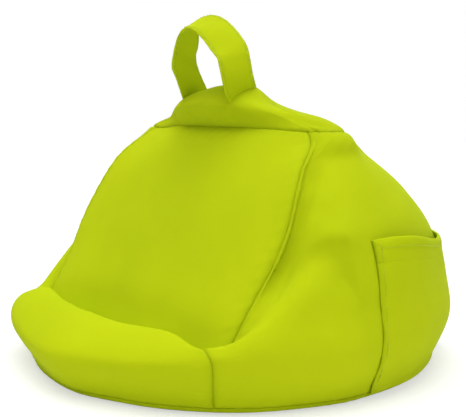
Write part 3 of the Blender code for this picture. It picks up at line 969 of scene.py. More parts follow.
FOLDS: tuple[Fold | Swell, ...] = (
    Swell((0.026, -0.001, 0.194), 0.0050, 0.015),
    Swell((0.052, 0.004, 0.186), -0.0022, 0.013),
    Swell((0.082, 0.022, 0.174), 0.0008, 0.018),
    Swell((0.101, 0.038, 0.160), -0.0044, 0.017),
    Swell((-0.088, -0.128, 0.034), 0.0050, 0.034),
    Swell((0.020, -0.147, 0.012), 0.0046, 0.028),
    Swell((0.136, -0.031, 0.102), 0.0030, 0.015),
    Swell((-0.032, -0.018, 0.189), 0.0018, 0.013),
    Swell((-0.073, -0.010, 0.178), -0.0040, 0.018),
    Swell((0.114, -0.026, 0.138), -0.0018, 0.011),
    Swell((0.113, -0.008, 0.152), -0.0012, 0.008),
    Fold(
        ((0.068, -0.011, 0.180), (0.082, -0.007, 0.1755), (0.092, -0.002, 0.1736), (0.101, 0.010, 0.170)),
        -0.0026, 0.0036,
    ),
    Fold(((0.0265, -0.0240, 0.187), (0.0238, -0.0219, 0.1805), (0.0172, -0.0171, 0.1733)), -0.0012, 0.0018, 0.1),
    Fold(((-0.0530, -0.0155, 0.180), (-0.0480, -0.0160, 0.174)), -0.0010, 0.0030, 0.4),
    Fold(((-0.0240, -0.0200, 0.181), (-0.0210, -0.0190, 0.173)), -0.0016, 0.0030, 0.4),
    Fold(((0.0060, -0.0200, 0.180), (0.0090, -0.0185, 0.173)), -0.0014, 0.0026, 0.4),
    Fold(((0.0300, -0.0180, 0.179), (0.0340, -0.0170, 0.172)), -0.0015, 0.0034, 0.4),
    Fold(
        ((0.1160, -0.0160, 0.1464), (0.1217, -0.0295, 0.1320), (0.1235, -0.0400, 0.1175), (0.1233, -0.0491, 0.1011),
         (0.1225, -0.0575, 0.0878), (0.1218, -0.0690, 0.0716), (0.1223, -0.0792, 0.0571)),
        -0.0056, 0.0082, 0.35,
    ),
    Fold(
        ((0.1287, -0.0058, 0.1311), (0.1378, -0.0152, 0.1170), (0.1400, -0.0243, 0.1009), (0.1376, -0.0310, 0.0870),
         (0.1371, -0.0430, 0.0755), (0.1365, -0.0572, 0.0691), (0.1345, -0.0713, 0.0624), (0.1311, -0.0822, 0.0558)),
        0.0034, 0.0110, 0.5,
    ),
)


@dataclass
class Cover:
    """The outside of the cover as a smooth surface that any piece can be laid on."""

    quick: bool
    ripple: float = 0.00030
    ripples: int = 26
    seed: int = 11
    probe: float = 0.02

    def __post_init__(self) -> None:
        """Find the rings, the swell and the ripples."""
        self.shape = Lattice(BodyShape().rings(), 1)
        self.swell = Filling().swell(self.shape, self.quick)
        chance = np.random.default_rng(self.seed)
        ways = unit(chance.normal(size=(self.ripples, 3)))
        lengths = chance.uniform(0.022, 0.075, size=(self.ripples, 1))
        self.waves = FULL_TURN * ways / lengths
        self.phases = chance.uniform(0.0, FULL_TURN, size=self.ripples)

    def _places(self, level: Field | float, column: Field | float) -> list[Field]:
        """Levels and columns as arrays of one shape."""
        return list(np.broadcast_arrays(np.asarray(level, float), np.asarray(column, float)))

    def bare(self, level: Field | float, column: Field | float) -> Field:
        """Places on the cover before its folds.

        Args:
            level: Levels from -1, the middle of the base, to the top.
            column: Columns.

        Returns:
            The points.
        """
        level, column = self._places(level, column)
        up = np.clip(level, 0.0, TOP)
        points = self.shape.at(up, column) + self.swell.at(up, column)
        points[..., 2] = np.where(level <= 1.0, 0.0, np.maximum(points[..., 2], 0.0))
        return points * np.clip(level + 1.0, 0.0, 1.0)[..., None]

    def normal(self, level: Field | float, column: Field | float) -> Field:
        """The outward direction at places on the cover."""
        level, column = self._places(level, column)
        near = np.minimum(level, TOP - 0.03)
        up = self.bare(near + self.probe, column) - self.bare(near - self.probe, column)
        side = self.bare(near, column + self.probe) - self.bare(near, column - self.probe)
        out = np.where((level >= TOP - 0.001)[..., None], UP, unit(np.cross(side, up)))
        return np.where((level < 0.999)[..., None], DOWN, out)

    def relief(self, points: Field, level: Field) -> Field:
        """The lift of the folds and of the loose cloth's ripples.

        Args:
            points: Places on the cover.
            level: Their levels.

        Returns:
            The lift of each, nothing on the base.
        """
        flat = points.reshape(-1, 3)
        lift = np.sin(flat @ self.waves.T + self.phases).sum(axis=1) * self.ripple / math.sqrt(self.ripples)
        for fold in FOLDS:
            lift += fold.lift(flat)
        return lift.reshape(level.shape) * climbing(level, 1.05, 1.85)

    def at(self, level: Field | float, column: Field | float, lift: Field | float = 0.0) -> Field:
        """Places on the cover with its folds.

        Args:
            level: Levels.
            column: Columns.
            lift: How far off the surface.

        Returns:
            The points.
        """
        level, column = self._places(level, column)
        points = self.bare(level, column)
        raised = self.relief(points, level) + lift
        return points + raised[..., None] * self.normal(level, column)

    def level_at(self, column: float, height: float) -> float:
        """The level at which a column of the cover stands at a height."""
        levels = np.linspace(1.0, RIDGE, 900)
        return float(np.interp(height, self.bare(levels, column)[:, 2], levels))

    def climb(self, level: float, column: float, distance: float) -> float:
        """The level reached from here by going this distance up the cover."""
        half = 200
        levels = np.linspace(level - 1.0, level + 1.0, 2 * half + 1)
        runs = runs_along(self.bare(levels, column))
        return float(np.interp(runs[half] + distance, runs, levels))


class Seams(Enum):
    """Which ends of a piece are seams, as well as its sides."""

    BOTH = "both ends"
    UPPER = "the upper end of a piece that closes at the base"
    LOWER = "the lower end of a piece that closes at the top"


CLOSED_ROWS = {Seams.BOTH: (), Seams.UPPER: (0,), Seams.LOWER: (-1,)}


@dataclass
class Spread:
    """The places of a cloth piece's points: by row and column, each a level and a column of the cover."""

    level: Field
    column: Field
    from_ends: Field
    from_sides: Field
    runs: Field
    widths: Field
    wraps: bool


EDGE_LINES = (0.0, 0.00045, 0.0011, 0.0021, 0.0036)
TABLE_SIZE = 160


def line_places(totals: Field, low: Sequence[float], high: Sequence[float], step: float) -> Field:
    """Where the lines of a net cross each path: close together by a seam, and evenly between.

    Args:
        totals: The length of each path.
        low: The places by its start.
        high: The places by its end, counted from there.
        step: The spacing between.

    Returns:
        The places by line and path.
    """
    between = totals - low[-1] - high[-1]
    count = max(3, int(round(between.max() / step)))
    shares = np.arange(1, count)[:, None] / count
    starts = np.tile(np.array(low)[:, None], (1, len(totals)))
    return np.concatenate([starts, low[-1] + shares * between, totals - np.array(high[::-1])[:, None]])


def spread(
    cover: Cover, levels: tuple[float, float], columns: tuple[float, float], step: float, seams: Seams = Seams.BOTH
) -> Spread:
    """Lay a net of points over part of the cover, with close lines along its seams.

    Args:
        cover: The surface.
        levels: The first and last level.
        columns: The first and last column. A whole turn wraps round.
        step: The spacing of the net.
        seams: Which of its ends are seams.

    Returns:
        The net.
    """
    wraps = columns[1] - columns[0] >= ROUND
    level_table, column_table = np.linspace(*levels, TABLE_SIZE), np.linspace(*columns, TABLE_SIZE)
    row_lengths = runs_along(cover.bare(level_table[:, None], column_table[None, :]), axis=1)
    widths_of_rows = row_lengths[:, -1]
    if wraps:
        count = math.ceil(widths_of_rows.max() / step)
        lines = np.tile(columns[0] + ROUND * np.arange(count) / count, (TABLE_SIZE, 1))
        from_sides = np.ones((TABLE_SIZE, count))
    else:
        places = line_places(widths_of_rows, EDGE_LINES, EDGE_LINES, step).T
        lines = np.array([np.interp(place, row, column_table) for place, row in zip(places, row_lengths)])
        from_sides = np.minimum(places, widths_of_rows[:, None] - places)
    heights = runs_along(cover.bare(level_table[:, None], lines))
    foot_seam, head_seam = seams is not Seams.UPPER, seams is not Seams.LOWER
    low, high = (EDGE_LINES if is_seam else (0.0,) for is_seam in (foot_seam, head_seam))
    runs = line_places(heights[-1], low, high, step)
    level, column, sides, widths = (np.empty_like(runs) for _ in range(4))
    for at, line in enumerate(lines.T):
        level[:, at] = np.interp(runs[:, at], heights[:, at], level_table)
        wide = [np.interp(place, column_table, row) for place, row in zip(line, row_lengths)]
        for kept, values in ((column, line), (sides, from_sides[:, at]), (widths, wide)):
            kept[:, at] = np.interp(level[:, at], level_table, values)
    ends = np.ones_like(runs)
    if foot_seam:
        ends = np.minimum(ends, runs)
    if head_seam:
        ends = np.minimum(ends, heights[-1] - runs)
    return Spread(level, column, ends, sides, runs, widths, wraps)


# --- The cover's panels ---


@dataclass(frozen=True)
class Panel:
    """One cut panel of the cover: its part of the surface and how its seams pull."""

    name: str
    levels: tuple[float, float]
    columns: tuple[float, float]
    fill: float = 0.75
    seams: Seams = Seams.BOTH
    pucker: float = 0.00055
    step: float = 0.0024


@dataclass
class CoverPanels:
    """The sewn cover: every panel as its own closed piece of cloth."""

    cover: Cover
    cloth: float = 0.0012
    seam_thinning: float = 0.0004
    seam_drop: float = 0.0014
    seam_round: float = 0.0017
    seam_shade: float = 0.0016
    pucker_reach: float = 0.0085
    pucker_length: float = 0.0105
    column_width: float = 0.045
    zip_height: float = 0.020
    zip_slot: float = 0.0070

    def __post_init__(self) -> None:
        """Find the zip's slot and cut the panels."""
        middle, side, back = ROUND / 2, (EDGE, BACK), (BACK, ROUND - BACK)
        self.zip_level = self.cover.level_at(middle, self.zip_height)
        half = self.zip_slot / 2
        slot_foot, slot_top = (self.cover.climb(self.zip_level, middle, rise) for rise in (-half, half))
        self.panels = (
            Panel("base_panel", (-1.0, BASE_SEAM), (0, ROUND), 0.7, Seams.UPPER, 0.0002, 0.0042),
            Panel("lip_panel", (BASE_SEAM, TROUGH), (-EDGE, EDGE), 0.8),
            Panel("rest_panel", (TROUGH, RIDGE), (-EDGE, EDGE)),
            Panel("side_panel_right", (BASE_SEAM, RIDGE), side),
            Panel("side_panel_left", (BASE_SEAM, RIDGE), (ROUND - BACK, ROUND - EDGE)),
            Panel("back_panel", (slot_top, RIDGE), back),
            Panel("back_lower_panel", (BASE_SEAM, slot_foot), back, pucker=0.0003),
            Panel("top_panel", (RIDGE, TOP), (0, ROUND), 0.8, Seams.LOWER),
        )

    def build(self) -> None:
        """Make every panel."""
        self.pieces = [self._panel(panel, 1.7 * number) for number, panel in enumerate(self.panels)]

    def _puckers(self, place: Field, distance: Field, phase: float, second: float, shift: float) -> Field:
        """The small gathers along a seam.

        Args:
            place: Places along the seam.
            distance: How far each point is from it.
            phase: What sets them apart from another panel's.
            second: How much closer the finer gathers are.
            shift: What sets these apart from the coarse ones.

        Returns:
            How high each point is raised.
        """
        turns = place * FULL_TURN / self.pucker_length
        waves = np.sin(turns + phase) + 0.6 * np.sin(turns * second + shift * phase)
        return waves * np.exp(-distance / self.pucker_reach)

    def _panel(self, panel: Panel, phase: float) -> Piece:
        """Cut, lay and close one panel.

        Args:
            panel: The panel.
            phase: What sets its puckers apart.

        Returns:
            The piece.
        """
        net = spread(self.cover, panel.levels, panel.columns, panel.step, panel.seams)
        near = np.minimum(net.from_ends, net.from_sides)
        turn = np.exp(-near / self.seam_round)
        puckers = self._puckers(net.widths, net.from_ends, phase, 1.71, 2.3)
        puckers += self._puckers(net.runs, net.from_sides, phase, 1.63, 1.9)
        lift = panel.pucker * puckers * (1.0 - 0.6 * turn) * 0.6 - self.seam_drop * turn
        closed = CLOSED_ROWS[panel.seams]
        is_base = panel.seams is Seams.UPPER
        if is_base:
            lift = np.where(net.level < 1.1, 0.0, lift)
        outer = self.cover.at(net.level, net.column, lift)
        inner = self.cover.at(net.level, net.column, lift - (self.cloth - self.seam_thinning * turn))
        if is_base:
            outer[..., 2] = np.maximum(outer[..., 2], 0.0)
            inner[..., 2] = np.maximum(inner[..., 2], self.cloth * (net.level < 1.2))
        across = net.column * self.column_width if net.wraps else net.widths
        # How much painted shade each point gets, most at the panel's seams
        seam = np.exp(-near / self.seam_shade)
        return Sheet(outer, inner, across, net.runs, seam, net.wraps, closed).piece(panel.name + "_cloth")

    def dress(self, wardrobe: Wardrobe) -> None:
        """Give the panels their cotton and let them stand for the plain ones."""
        for panel, piece in zip(self.panels, self.pieces):
            wardrobe.dress(piece, Slot.COTTON, Body.CUSHION, panel.name, panel.fill)


@dataclass
class BeadBags:
    """The lined bags of beads that fill the body and the lip, and the cloth wall between them."""

    cover: Cover
    depth: float = 0.0042
    depth_up: float = 0.0068
    middle: Triple = (0.0, 0.020, 0.070)
    wall_margin: float = 0.0060
    wall: float = 0.0008
    gap: float = 0.0004
    edge_gap: float = 0.1
    step: float = 0.0625

    def __post_init__(self) -> None:
        """Find the trough's line inside the cover and where the wall hangs from it."""
        self.front = np.linspace(-EDGE + self.edge_gap, EDGE - self.edge_gap, 97)
        self.trough = self.cover.at(TROUGH, self.front, -self.depth)
        self.split = float(self.cover.bare(TROUGH, 0.0)[1])
        self.half_wall = self.wall / 2 + self.gap

    def _inside(self, level: Field, column: Field) -> Field:
        """Places inside the cover: straight in, but towards the body's middle between the trough and the ridge."""
        straight = self.cover.at(level, column, -self.depth)
        outside = self.cover.at(level, column)
        inward = unit(np.array(self.middle) - outside) * self.depth_up
        share = climbing(level, TROUGH + 0.5, TROUGH + 1.0) * np.clip((RIDGE - level) / 0.4, 0.0, 1.0)
        return straight + (outside + inward - straight) * share[..., None]

    def _narrowed(self, points: Field) -> Field:
        """Points of a flat wall drawn in to where it stays inside the cover."""
        levels = np.linspace(1.0, RIM - 0.1, 60)
        ring = self.cover.bare(levels, EDGE)
        radius = np.interp(points[..., 2], ring[:, 2], np.hypot(ring[:, 0], ring[:, 1]))
        reach = np.sqrt(np.maximum(radius**2 - self.split**2, 0.0)) - self.wall_margin
        points[..., 0] = np.clip(points[..., 0], -reach, reach)
        return points

    def build(self) -> None:
        """Make the two bags and the wall from the cover's inside."""
        self.pieces = [self._body(), self._lip(), self._wall()]

    def _body(self) -> Piece:
        """The large bag: the cover's inside, with a flat wall below the trough."""
        levels = np.concatenate([np.linspace(0.0, 1.0, 4), np.arange(1.125, TOP - 0.1, self.step)])
        columns = np.arange(0, ROUND, self.step)
        points = self._inside(levels[:, None], columns[None, :])
        limit = self.split + self.half_wall
        ahead = np.minimum(columns, ROUND - columns) <= EDGE - self.edge_gap
        trough = self.cover.at(TROUGH, columns, -self.depth)
        trough[:, 1] = np.maximum(trough[:, 1], limit)
        for row, level in enumerate(levels):
            if level >= TROUGH:
                points[row, ahead, 1] = np.maximum(points[row, ahead, 1], limit)
                continue
            line = trough.copy()
            line[:, 2] = self.depth + (trough[:, 2] - self.depth) * climbing(level, 1.0, TROUGH)
            if level < 1.0:
                line[:, :2] = points[0, :, :2] + (trough[:, :2] - points[0, :, :2]) * level
            points[row, ahead] = self._narrowed(line)[ahead]
        points[levels <= 1.0, :, 2] = self.depth
        points[..., 2] = np.maximum(points[..., 2], self.depth)
        rows, count, _ = points.shape
        tip = rows * count
        flat = np.concatenate([
            points.reshape(-1, 3), self.cover.at([TOP], [0.0], -self.depth), [[0.0, 0.0, self.depth]]
        ])
        faces = grid_faces(rows, count, True)
        faces += fan_faces(tip - count, count, tip) + fan_faces(0, count, tip + 1, back=True)
        return new_mesh("bead_bag_body_lining", flat, faces)

    def _lip(self) -> Piece:
        """The long bag in the lip: a ring at each column, closed at both ends."""
        levels = np.concatenate([[1.0], np.arange(1.125, TROUGH - 0.1, self.step)])
        limit = self.split - self.half_wall
        shell = self.cover.at(levels[:, None], self.front[None, :], -self.depth)
        shell[0, :, 2] = self.depth
        foot = self.trough.copy()
        foot[:, 2] = self.depth
        rings = np.concatenate([shell, self.trough + (foot - self.trough) * np.linspace(0.0, 1.0, 7)[:, None, None]])
        rings[..., 2] = np.maximum(rings[..., 2], self.depth)
        rings = np.where((rings[..., 1] >= limit)[..., None], self._narrowed(rings.copy()), rings)
        rings[..., 1] = np.minimum(rings[..., 1], limit)
        rows, count, _ = rings.shape
        faces = [face[::-1] for face in grid_faces(count, rows, True)]
        tip = rows * count
        faces += fan_faces(0, rows, tip) + fan_faces(tip - rows, rows, tip + 1, back=True)
        points = [rings.transpose(1, 0, 2).reshape(-1, 3), rings[:, :1].mean(axis=0), rings[:, -1:].mean(axis=0)]
        return mend(new_mesh("bead_bag_lip_lining", np.concatenate(points), faces))

    def _wall(self) -> Piece:
        """The cloth wall that hangs from the trough between the bags."""
        share = np.linspace(0.0, 1.0, 12)[:, None]
        height = self.depth + share * (self.trough[None, :, 2] - self.depth)
        wide = np.tile(self.trough[None, :, 0], (len(share), 1))
        front, back = (
            self._narrowed(np.stack([wide, np.full_like(wide, self.split + side * self.wall / 2), height], axis=-1))
            for side in (-1, 1)
        )
        return mend(Sheet(front, back, wide, height, np.zeros_like(wide)).piece("divider_panel_cloth"))

    def dress(self, wardrobe: Wardrobe) -> None:
        """Give the bags their lining and the wall its cotton."""
        body, lip, wall = self.pieces
        wardrobe.dress(body, Slot.LINER, Body.CUSHION, "bead_bag_body", 0.8)
        wardrobe.dress(lip, Slot.LINER, Body.CUSHION, "bead_bag_lip", 0.8)
        wardrobe.dress(wall, Slot.COTTON, Body.CUSHION, "divider_panel", 0.1)


# --- Stitching ---


@dataclass(frozen=True)
class Stitching:
    """Runs of lockstitches: short thread capsules that dip into the cloth at both ends."""

    length: float = 0.0030
    gap: float = 0.0008
    radius: float = 0.00032
    sides: int = 6
    places: tuple[float, ...] = (0.0, 0.12, 0.5, 0.88, 1.0)
    radii: tuple[float, ...] = (0.35, 0.85, 1.0, 0.85, 0.35)
    lifts: tuple[float, ...] = (-0.9, 0.1, 0.55, 0.1, -0.9)

    def _stitch(self, points: Field, normals: Field, runs: Field, start: float) -> Field:
        """One stitch from a start along the line."""
        spine, out = read_at(start + np.array(self.places) * self.length, runs, points, normals)
        out = unit(out)
        side = np.cross(unit(spine[-1] - spine[0]), out)
        spine = spine + out * (self.radius * np.array(self.lifts))[:, None]
        return tube(spine, side, out, self.radius * np.array(self.radii), self.sides)

    def sew(self, name: str, lines: Sequence[tuple[Field, Field]]) -> Piece:
        """One piece with the stitches of several lines.

        Args:
            name: The piece's name.
            lines: Closely spaced points on the cloth, and its outward directions there, for each line.

        Returns:
            The piece.
        """
        pace = self.length + self.gap
        stitches = []
        for points, normals in lines:
            runs = runs_along(points)
            starts = np.arange(int(runs[-1] // pace)) * pace + self.gap / 2
            stitches += [self._stitch(points, normals, runs, start) for start in starts]
        return repeated(name, stitches, tube_faces(len(self.places), self.sides))


# --- The pocket ---


@dataclass
class SidePocket:
    """The patch pocket on the right side: its panel, its turned hem and its stitching."""

    cover: Cover
    columns: tuple[float, float] = (6.12, 9.0)
    height: float = 0.101
    hem: float = 0.014
    mouth_gap: float = 0.0080
    cloth: float = 0.0012
    hem_extra: float = 0.0008
    clear: float = 0.0004
    sag: float = 0.0012
    puff: float = 0.0003
    stitch_drop: float = 0.0060
    stitch_inset: float = 0.0030
    seam_shade: float = 0.0014
    fall: float = 0.45
    fall_reach: float = 1.7
    step: float = 0.0022

    def build(self) -> None:
        """Make the panel, the hem and the stitches."""
        first = self.columns[0]
        self.mouth = self.cover.level_at(first, self.height)
        self.hem_foot = self.cover.climb(self.mouth, first, -self.hem)
        self.pieces = [self._panel(), self._hem(), self._stitches()]

    def _fallen(self, level: Field, column: Field) -> Field:
        """The levels of the pocket's places, lower towards the back, where its mouth falls."""
        first = self.columns[0]
        fall = self.fall * eased(climbing(column, first, first + self.fall_reach))
        return level - fall * climbing(level, BASE_SEAM, self.mouth) ** 1.5

    def _lift(self, level: Field, column: Field) -> Field:
        """How far the pocket's inner face stands off the body, most at the middle of its mouth."""
        share = climbing(column, *self.columns)
        across = np.sin(math.pi * np.sqrt(share)) ** 2
        open_by = climbing(level, BASE_SEAM, self.mouth) ** 2
        return self.clear + (self.mouth_gap + self.sag * np.sin(3.0 * math.pi * share)) * across * open_by

    def _sheet(self, net: Spread, height: Field) -> Sheet:
        """Lay a part of the pocket over the body.

        Args:
            net: Its net.
            height: How far its outer face stands off its inner one.

        Returns:
            The cloth.
        """
        level, base = self._fallen(net.level, net.column), self._lift(net.level, net.column)
        puff = self.puff * np.sin(net.runs * FULL_TURN / 0.019) * np.exp(-net.from_sides / 0.010)
        outer = self.cover.at(level, net.column, base + height + puff)
        inner = self.cover.at(level, net.column, base + puff * 0.5)
        # The last value sets the painted shade along the pocket's sides
        return Sheet(outer, inner, net.widths, net.runs, np.exp(-net.from_sides / self.seam_shade))

    def _panel(self) -> Piece:
        """The pocket's face below its hem, rounded down into its seams."""
        net = spread(self.cover, (BASE_SEAM, self.hem_foot), self.columns, self.step)
        roll = np.exp(-np.minimum(net.from_sides, net.runs) / self.cloth)
        return self._sheet(net, self.cloth * (1.0 - 0.55 * roll)).piece("pocket_panel_cloth")

    def _hem(self) -> Piece:
        """The turned hem, thicker than the panel, drawn in by its stitches and rolled over at the mouth."""
        net = spread(self.cover, (self.hem_foot, self.mouth), self.columns, self.step)
        thick = self.cloth + self.hem_extra
        from_mouth = net.runs.max(axis=0) - net.runs
        share = climbing(net.runs, 0.0, 0.010)
        ripple = 0.00010 * np.sin(net.widths * FULL_TURN / 0.0085) * share
        drawn = 0.0003 * bell(from_mouth - self.stitch_drop, 0.0011) + 0.42 * thick * np.exp(-from_mouth / 0.0008)
        return self._sheet(net, self.cloth + self.hem_extra * share + ripple - drawn).piece("pocket_hem_cloth")

    def _line(self, level: Field, column: Field, thick: Field | float) -> tuple[Field, Field]:
        """A line on the pocket's outer face, with its outward directions."""
        fallen = self._fallen(level, column)
        return self.cover.at(fallen, column, self._lift(level, column) + thick), self.cover.normal(fallen, column)

    def _stitches(self) -> Piece:
        """The line along the hem and one down each side."""
        low, high = self.columns
        count, probe = 240, 0.05
        thick = self.cloth + self.hem_extra
        hem_level = np.full(count, self.cover.climb(self.mouth, low, -self.stitch_drop))
        lines = [self._line(hem_level, np.linspace(low + probe, high - probe, count), thick)]
        up = np.linspace(BASE_SEAM + 0.04, self.mouth - 0.02, count)
        for side, sign in ((low, 1.0), (high, -1.0)):
            step = self.cover.bare(up, side + probe * sign) - self.cover.bare(up, side)
            column = side + sign * self.stitch_inset / (np.linalg.norm(step, axis=1) / probe)
            lines.append(self._line(up, column, np.where(up > self.hem_foot, thick, self.cloth)))
        return Stitching(radius=0.00024).sew("pocket_stitches", lines)

    def dress(self, wardrobe: Wardrobe) -> None:
        """Give the pocket its cotton and thread."""
        panel, hem, stitches = self.pieces
        wardrobe.dress(panel, Slot.COTTON, Body.CUSHION, "pocket_panel", 0.1)
        wardrobe.dress(hem, Slot.COTTON, Body.CUSHION, "pocket_hem", 0.1)
        wardrobe.dress(stitches, Slot.COTTON, Body.CUSHION, finish="thread")


# --- The carrying loop ---

# The strap's two edges from the right end to the left
FRONT_EDGE: tuple[Triple, ...] = (
    (0.0275, -0.0240, 0.1868), (0.0282, -0.0280, 0.1927), (0.0292, -0.0315, 0.2018), (0.0279, -0.0330, 0.2106),
    (0.0261, -0.0333, 0.2161), (0.0200, -0.0335, 0.2218), (0.0138, -0.0335, 0.2272), (0.0068, -0.0335, 0.2320),
    (0.0003, -0.0335, 0.2359), (-0.0056, -0.0335, 0.2382), (-0.0103, -0.0335, 0.2390), (-0.0157, -0.0335, 0.2371),
    (-0.0196, -0.0335, 0.2339), (-0.0222, -0.0335, 0.2289), (-0.0253, -0.0333, 0.2197), (-0.0292, -0.0320, 0.2111),
    (-0.0314, -0.0270, 0.2032), (-0.0357, -0.0190, 0.1911),
)
BACK_EDGE: tuple[Triple, ...] = (
    (0.0289, 0.0010, 0.1932), (0.0319, -0.0030, 0.1987), (0.0352, -0.0080, 0.2055), (0.0341, -0.0095, 0.2152),
    (0.0302, -0.0095, 0.2247), (0.0230, -0.0090, 0.2320), (0.0142, -0.0085, 0.2394), (0.0048, -0.0085, 0.2455),
    (-0.0064, -0.0085, 0.2488), (-0.0160, -0.0090, 0.2485), (-0.0230, -0.0095, 0.2465), (-0.0272, -0.0090, 0.2430),
    (-0.0282, -0.0085, 0.2377), (-0.0285, -0.0085, 0.2303), (-0.0318, -0.0085, 0.2208), (-0.0296, -0.0080, 0.2128),
    (-0.0314, -0.0030, 0.2052), (-0.0334, 0.0040, 0.1954),
)


@dataclass
class CarryingLoop:
    """The soft strap that stands as a loop on the cap."""

    thick: float = 0.0024
    bend_start: Triple = (0.0, -0.021, 0.1900)
    bend_end: Triple = (0.0, -0.021, 0.2080)
    loop_middle: Triple = (0.0, -0.021, 0.185)
    dip: float = 0.0035
    stitch_share: float = 0.84

    def __post_init__(self) -> None:
        """Find the strap's middle line, its width and its outward directions."""
        front, back = self._edge(FRONT_EDGE), self._edge(BACK_EDGE)
        self.spine = (front + back) / 2
        self.halves = np.linalg.norm(back - front, axis=1) / 2
        self.wides = unit(back - front)
        outs = unit(np.cross(self.wides, np.gradient(self.spine, axis=0)))
        away = self.spine - np.array(self.loop_middle)
        self.outs = outs * np.sign((outs * away).sum(axis=1, keepdims=True))
        self.runs = runs_along(self.spine)

    def build(self) -> None:
        """Make the strap and its stitches."""
        self.pieces = [self._strap(), self._stitches()]

    def _edge(self, places: Sequence[Triple]) -> Field:
        """A smooth edge through its places, run on at both ends into the cap."""
        knots = np.array(places)
        first = knots[0] + unit(knots[0] - knots[1]) * self.dip
        last = knots[-1] + unit(knots[-1] - knots[-2]) * self.dip
        knots = np.concatenate([[first], knots, [last]])
        place = np.linspace(0.0, len(knots) - 1.0, 260)
        low = np.clip(np.floor(place).astype(int), 0, len(knots) - 2)
        weights = enumerate(curve_weights(place - low))
        return sum(share[:, None] * knots[np.clip(low + step - 1, 0, len(knots) - 1)] for step, share in weights)

    def _wave(self, runs: Field, shares: Field | float) -> Field:
        """How far the soft cloth stands off the strap's middle sheet."""
        ends = np.clip(np.minimum(runs, runs[-1] - runs) / 0.02 - 0.5, 0.0, 1.0)
        return 0.0006 * ends * np.sin(runs * FULL_TURN / 0.046 + shares * 2.2)

    def _strap(self) -> Piece:
        """The strap: two layers of cotton turned in at the edges, a little fuller between its stitch lines."""
        rim = np.array((0.88, 0.94, 0.985, 1.0))
        shares = np.concatenate([-rim[::-1], np.linspace(-0.80, 0.80, 17), rim])
        size, runs = np.abs(shares), self.runs[:, None]
        full = np.sqrt(np.clip(1.0 - size**10, 0.0, 1.0)) * (1.0 - 0.24 * bell(size - self.stitch_share, 0.05))
        ripple = 0.00016 * np.sin(runs * FULL_TURN / 0.0078) * bell(size - 0.95, 0.10)
        height = (self.thick / 2 * full + ripple)[..., None]
        across = self.halves[:, None] * shares
        outs = self.outs[:, None, :]
        middle = self.spine[:, None, :] + self.wides[:, None, :] * across[..., None]
        middle = middle + outs * self._wave(runs, shares)[..., None]
        along = np.tile(runs, (1, len(shares)))
        # Painted shade along the stitch lines, where the strap is drawn in
        seam = np.tile(bell(size - self.stitch_share, 0.04) * 0.45, (len(runs), 1))
        sheet = Sheet(middle + outs * height, middle - outs * height, across, along, seam)
        return mend(sheet.piece("handle_strap_cloth"), merge=2e-5)

    def _stitches(self) -> Piece:
        """A line of stitches inside each edge of the strap, on both faces."""
        lines = []
        keep = (self.runs > 0.006) & (self.runs < self.runs[-1] - 0.006)
        for face in (1.0, -1.0):
            for share in (-self.stitch_share, self.stitch_share):
                line = self.spine + self.wides * (self.halves * share)[:, None]
                line = line + self.outs * (self._wave(self.runs, share) + face * self.thick * 0.38)[:, None]
                lines.append((line[keep], self.outs[keep] * face))
        return Stitching().sew("handle_stitches", lines)

    def dress(self, wardrobe: Wardrobe) -> None:
        """Give the strap its cotton and its stitches their thread, and bake their places into their meshes."""
        strap, stitches = self.pieces
        wardrobe.dress(strap, Slot.COTTON, None, "handle_strap")
        wardrobe.dress(stitches, Slot.COTTON, None, finish="thread")
        for piece in (strap, stitches):
            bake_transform(piece)


# --- The zip ---


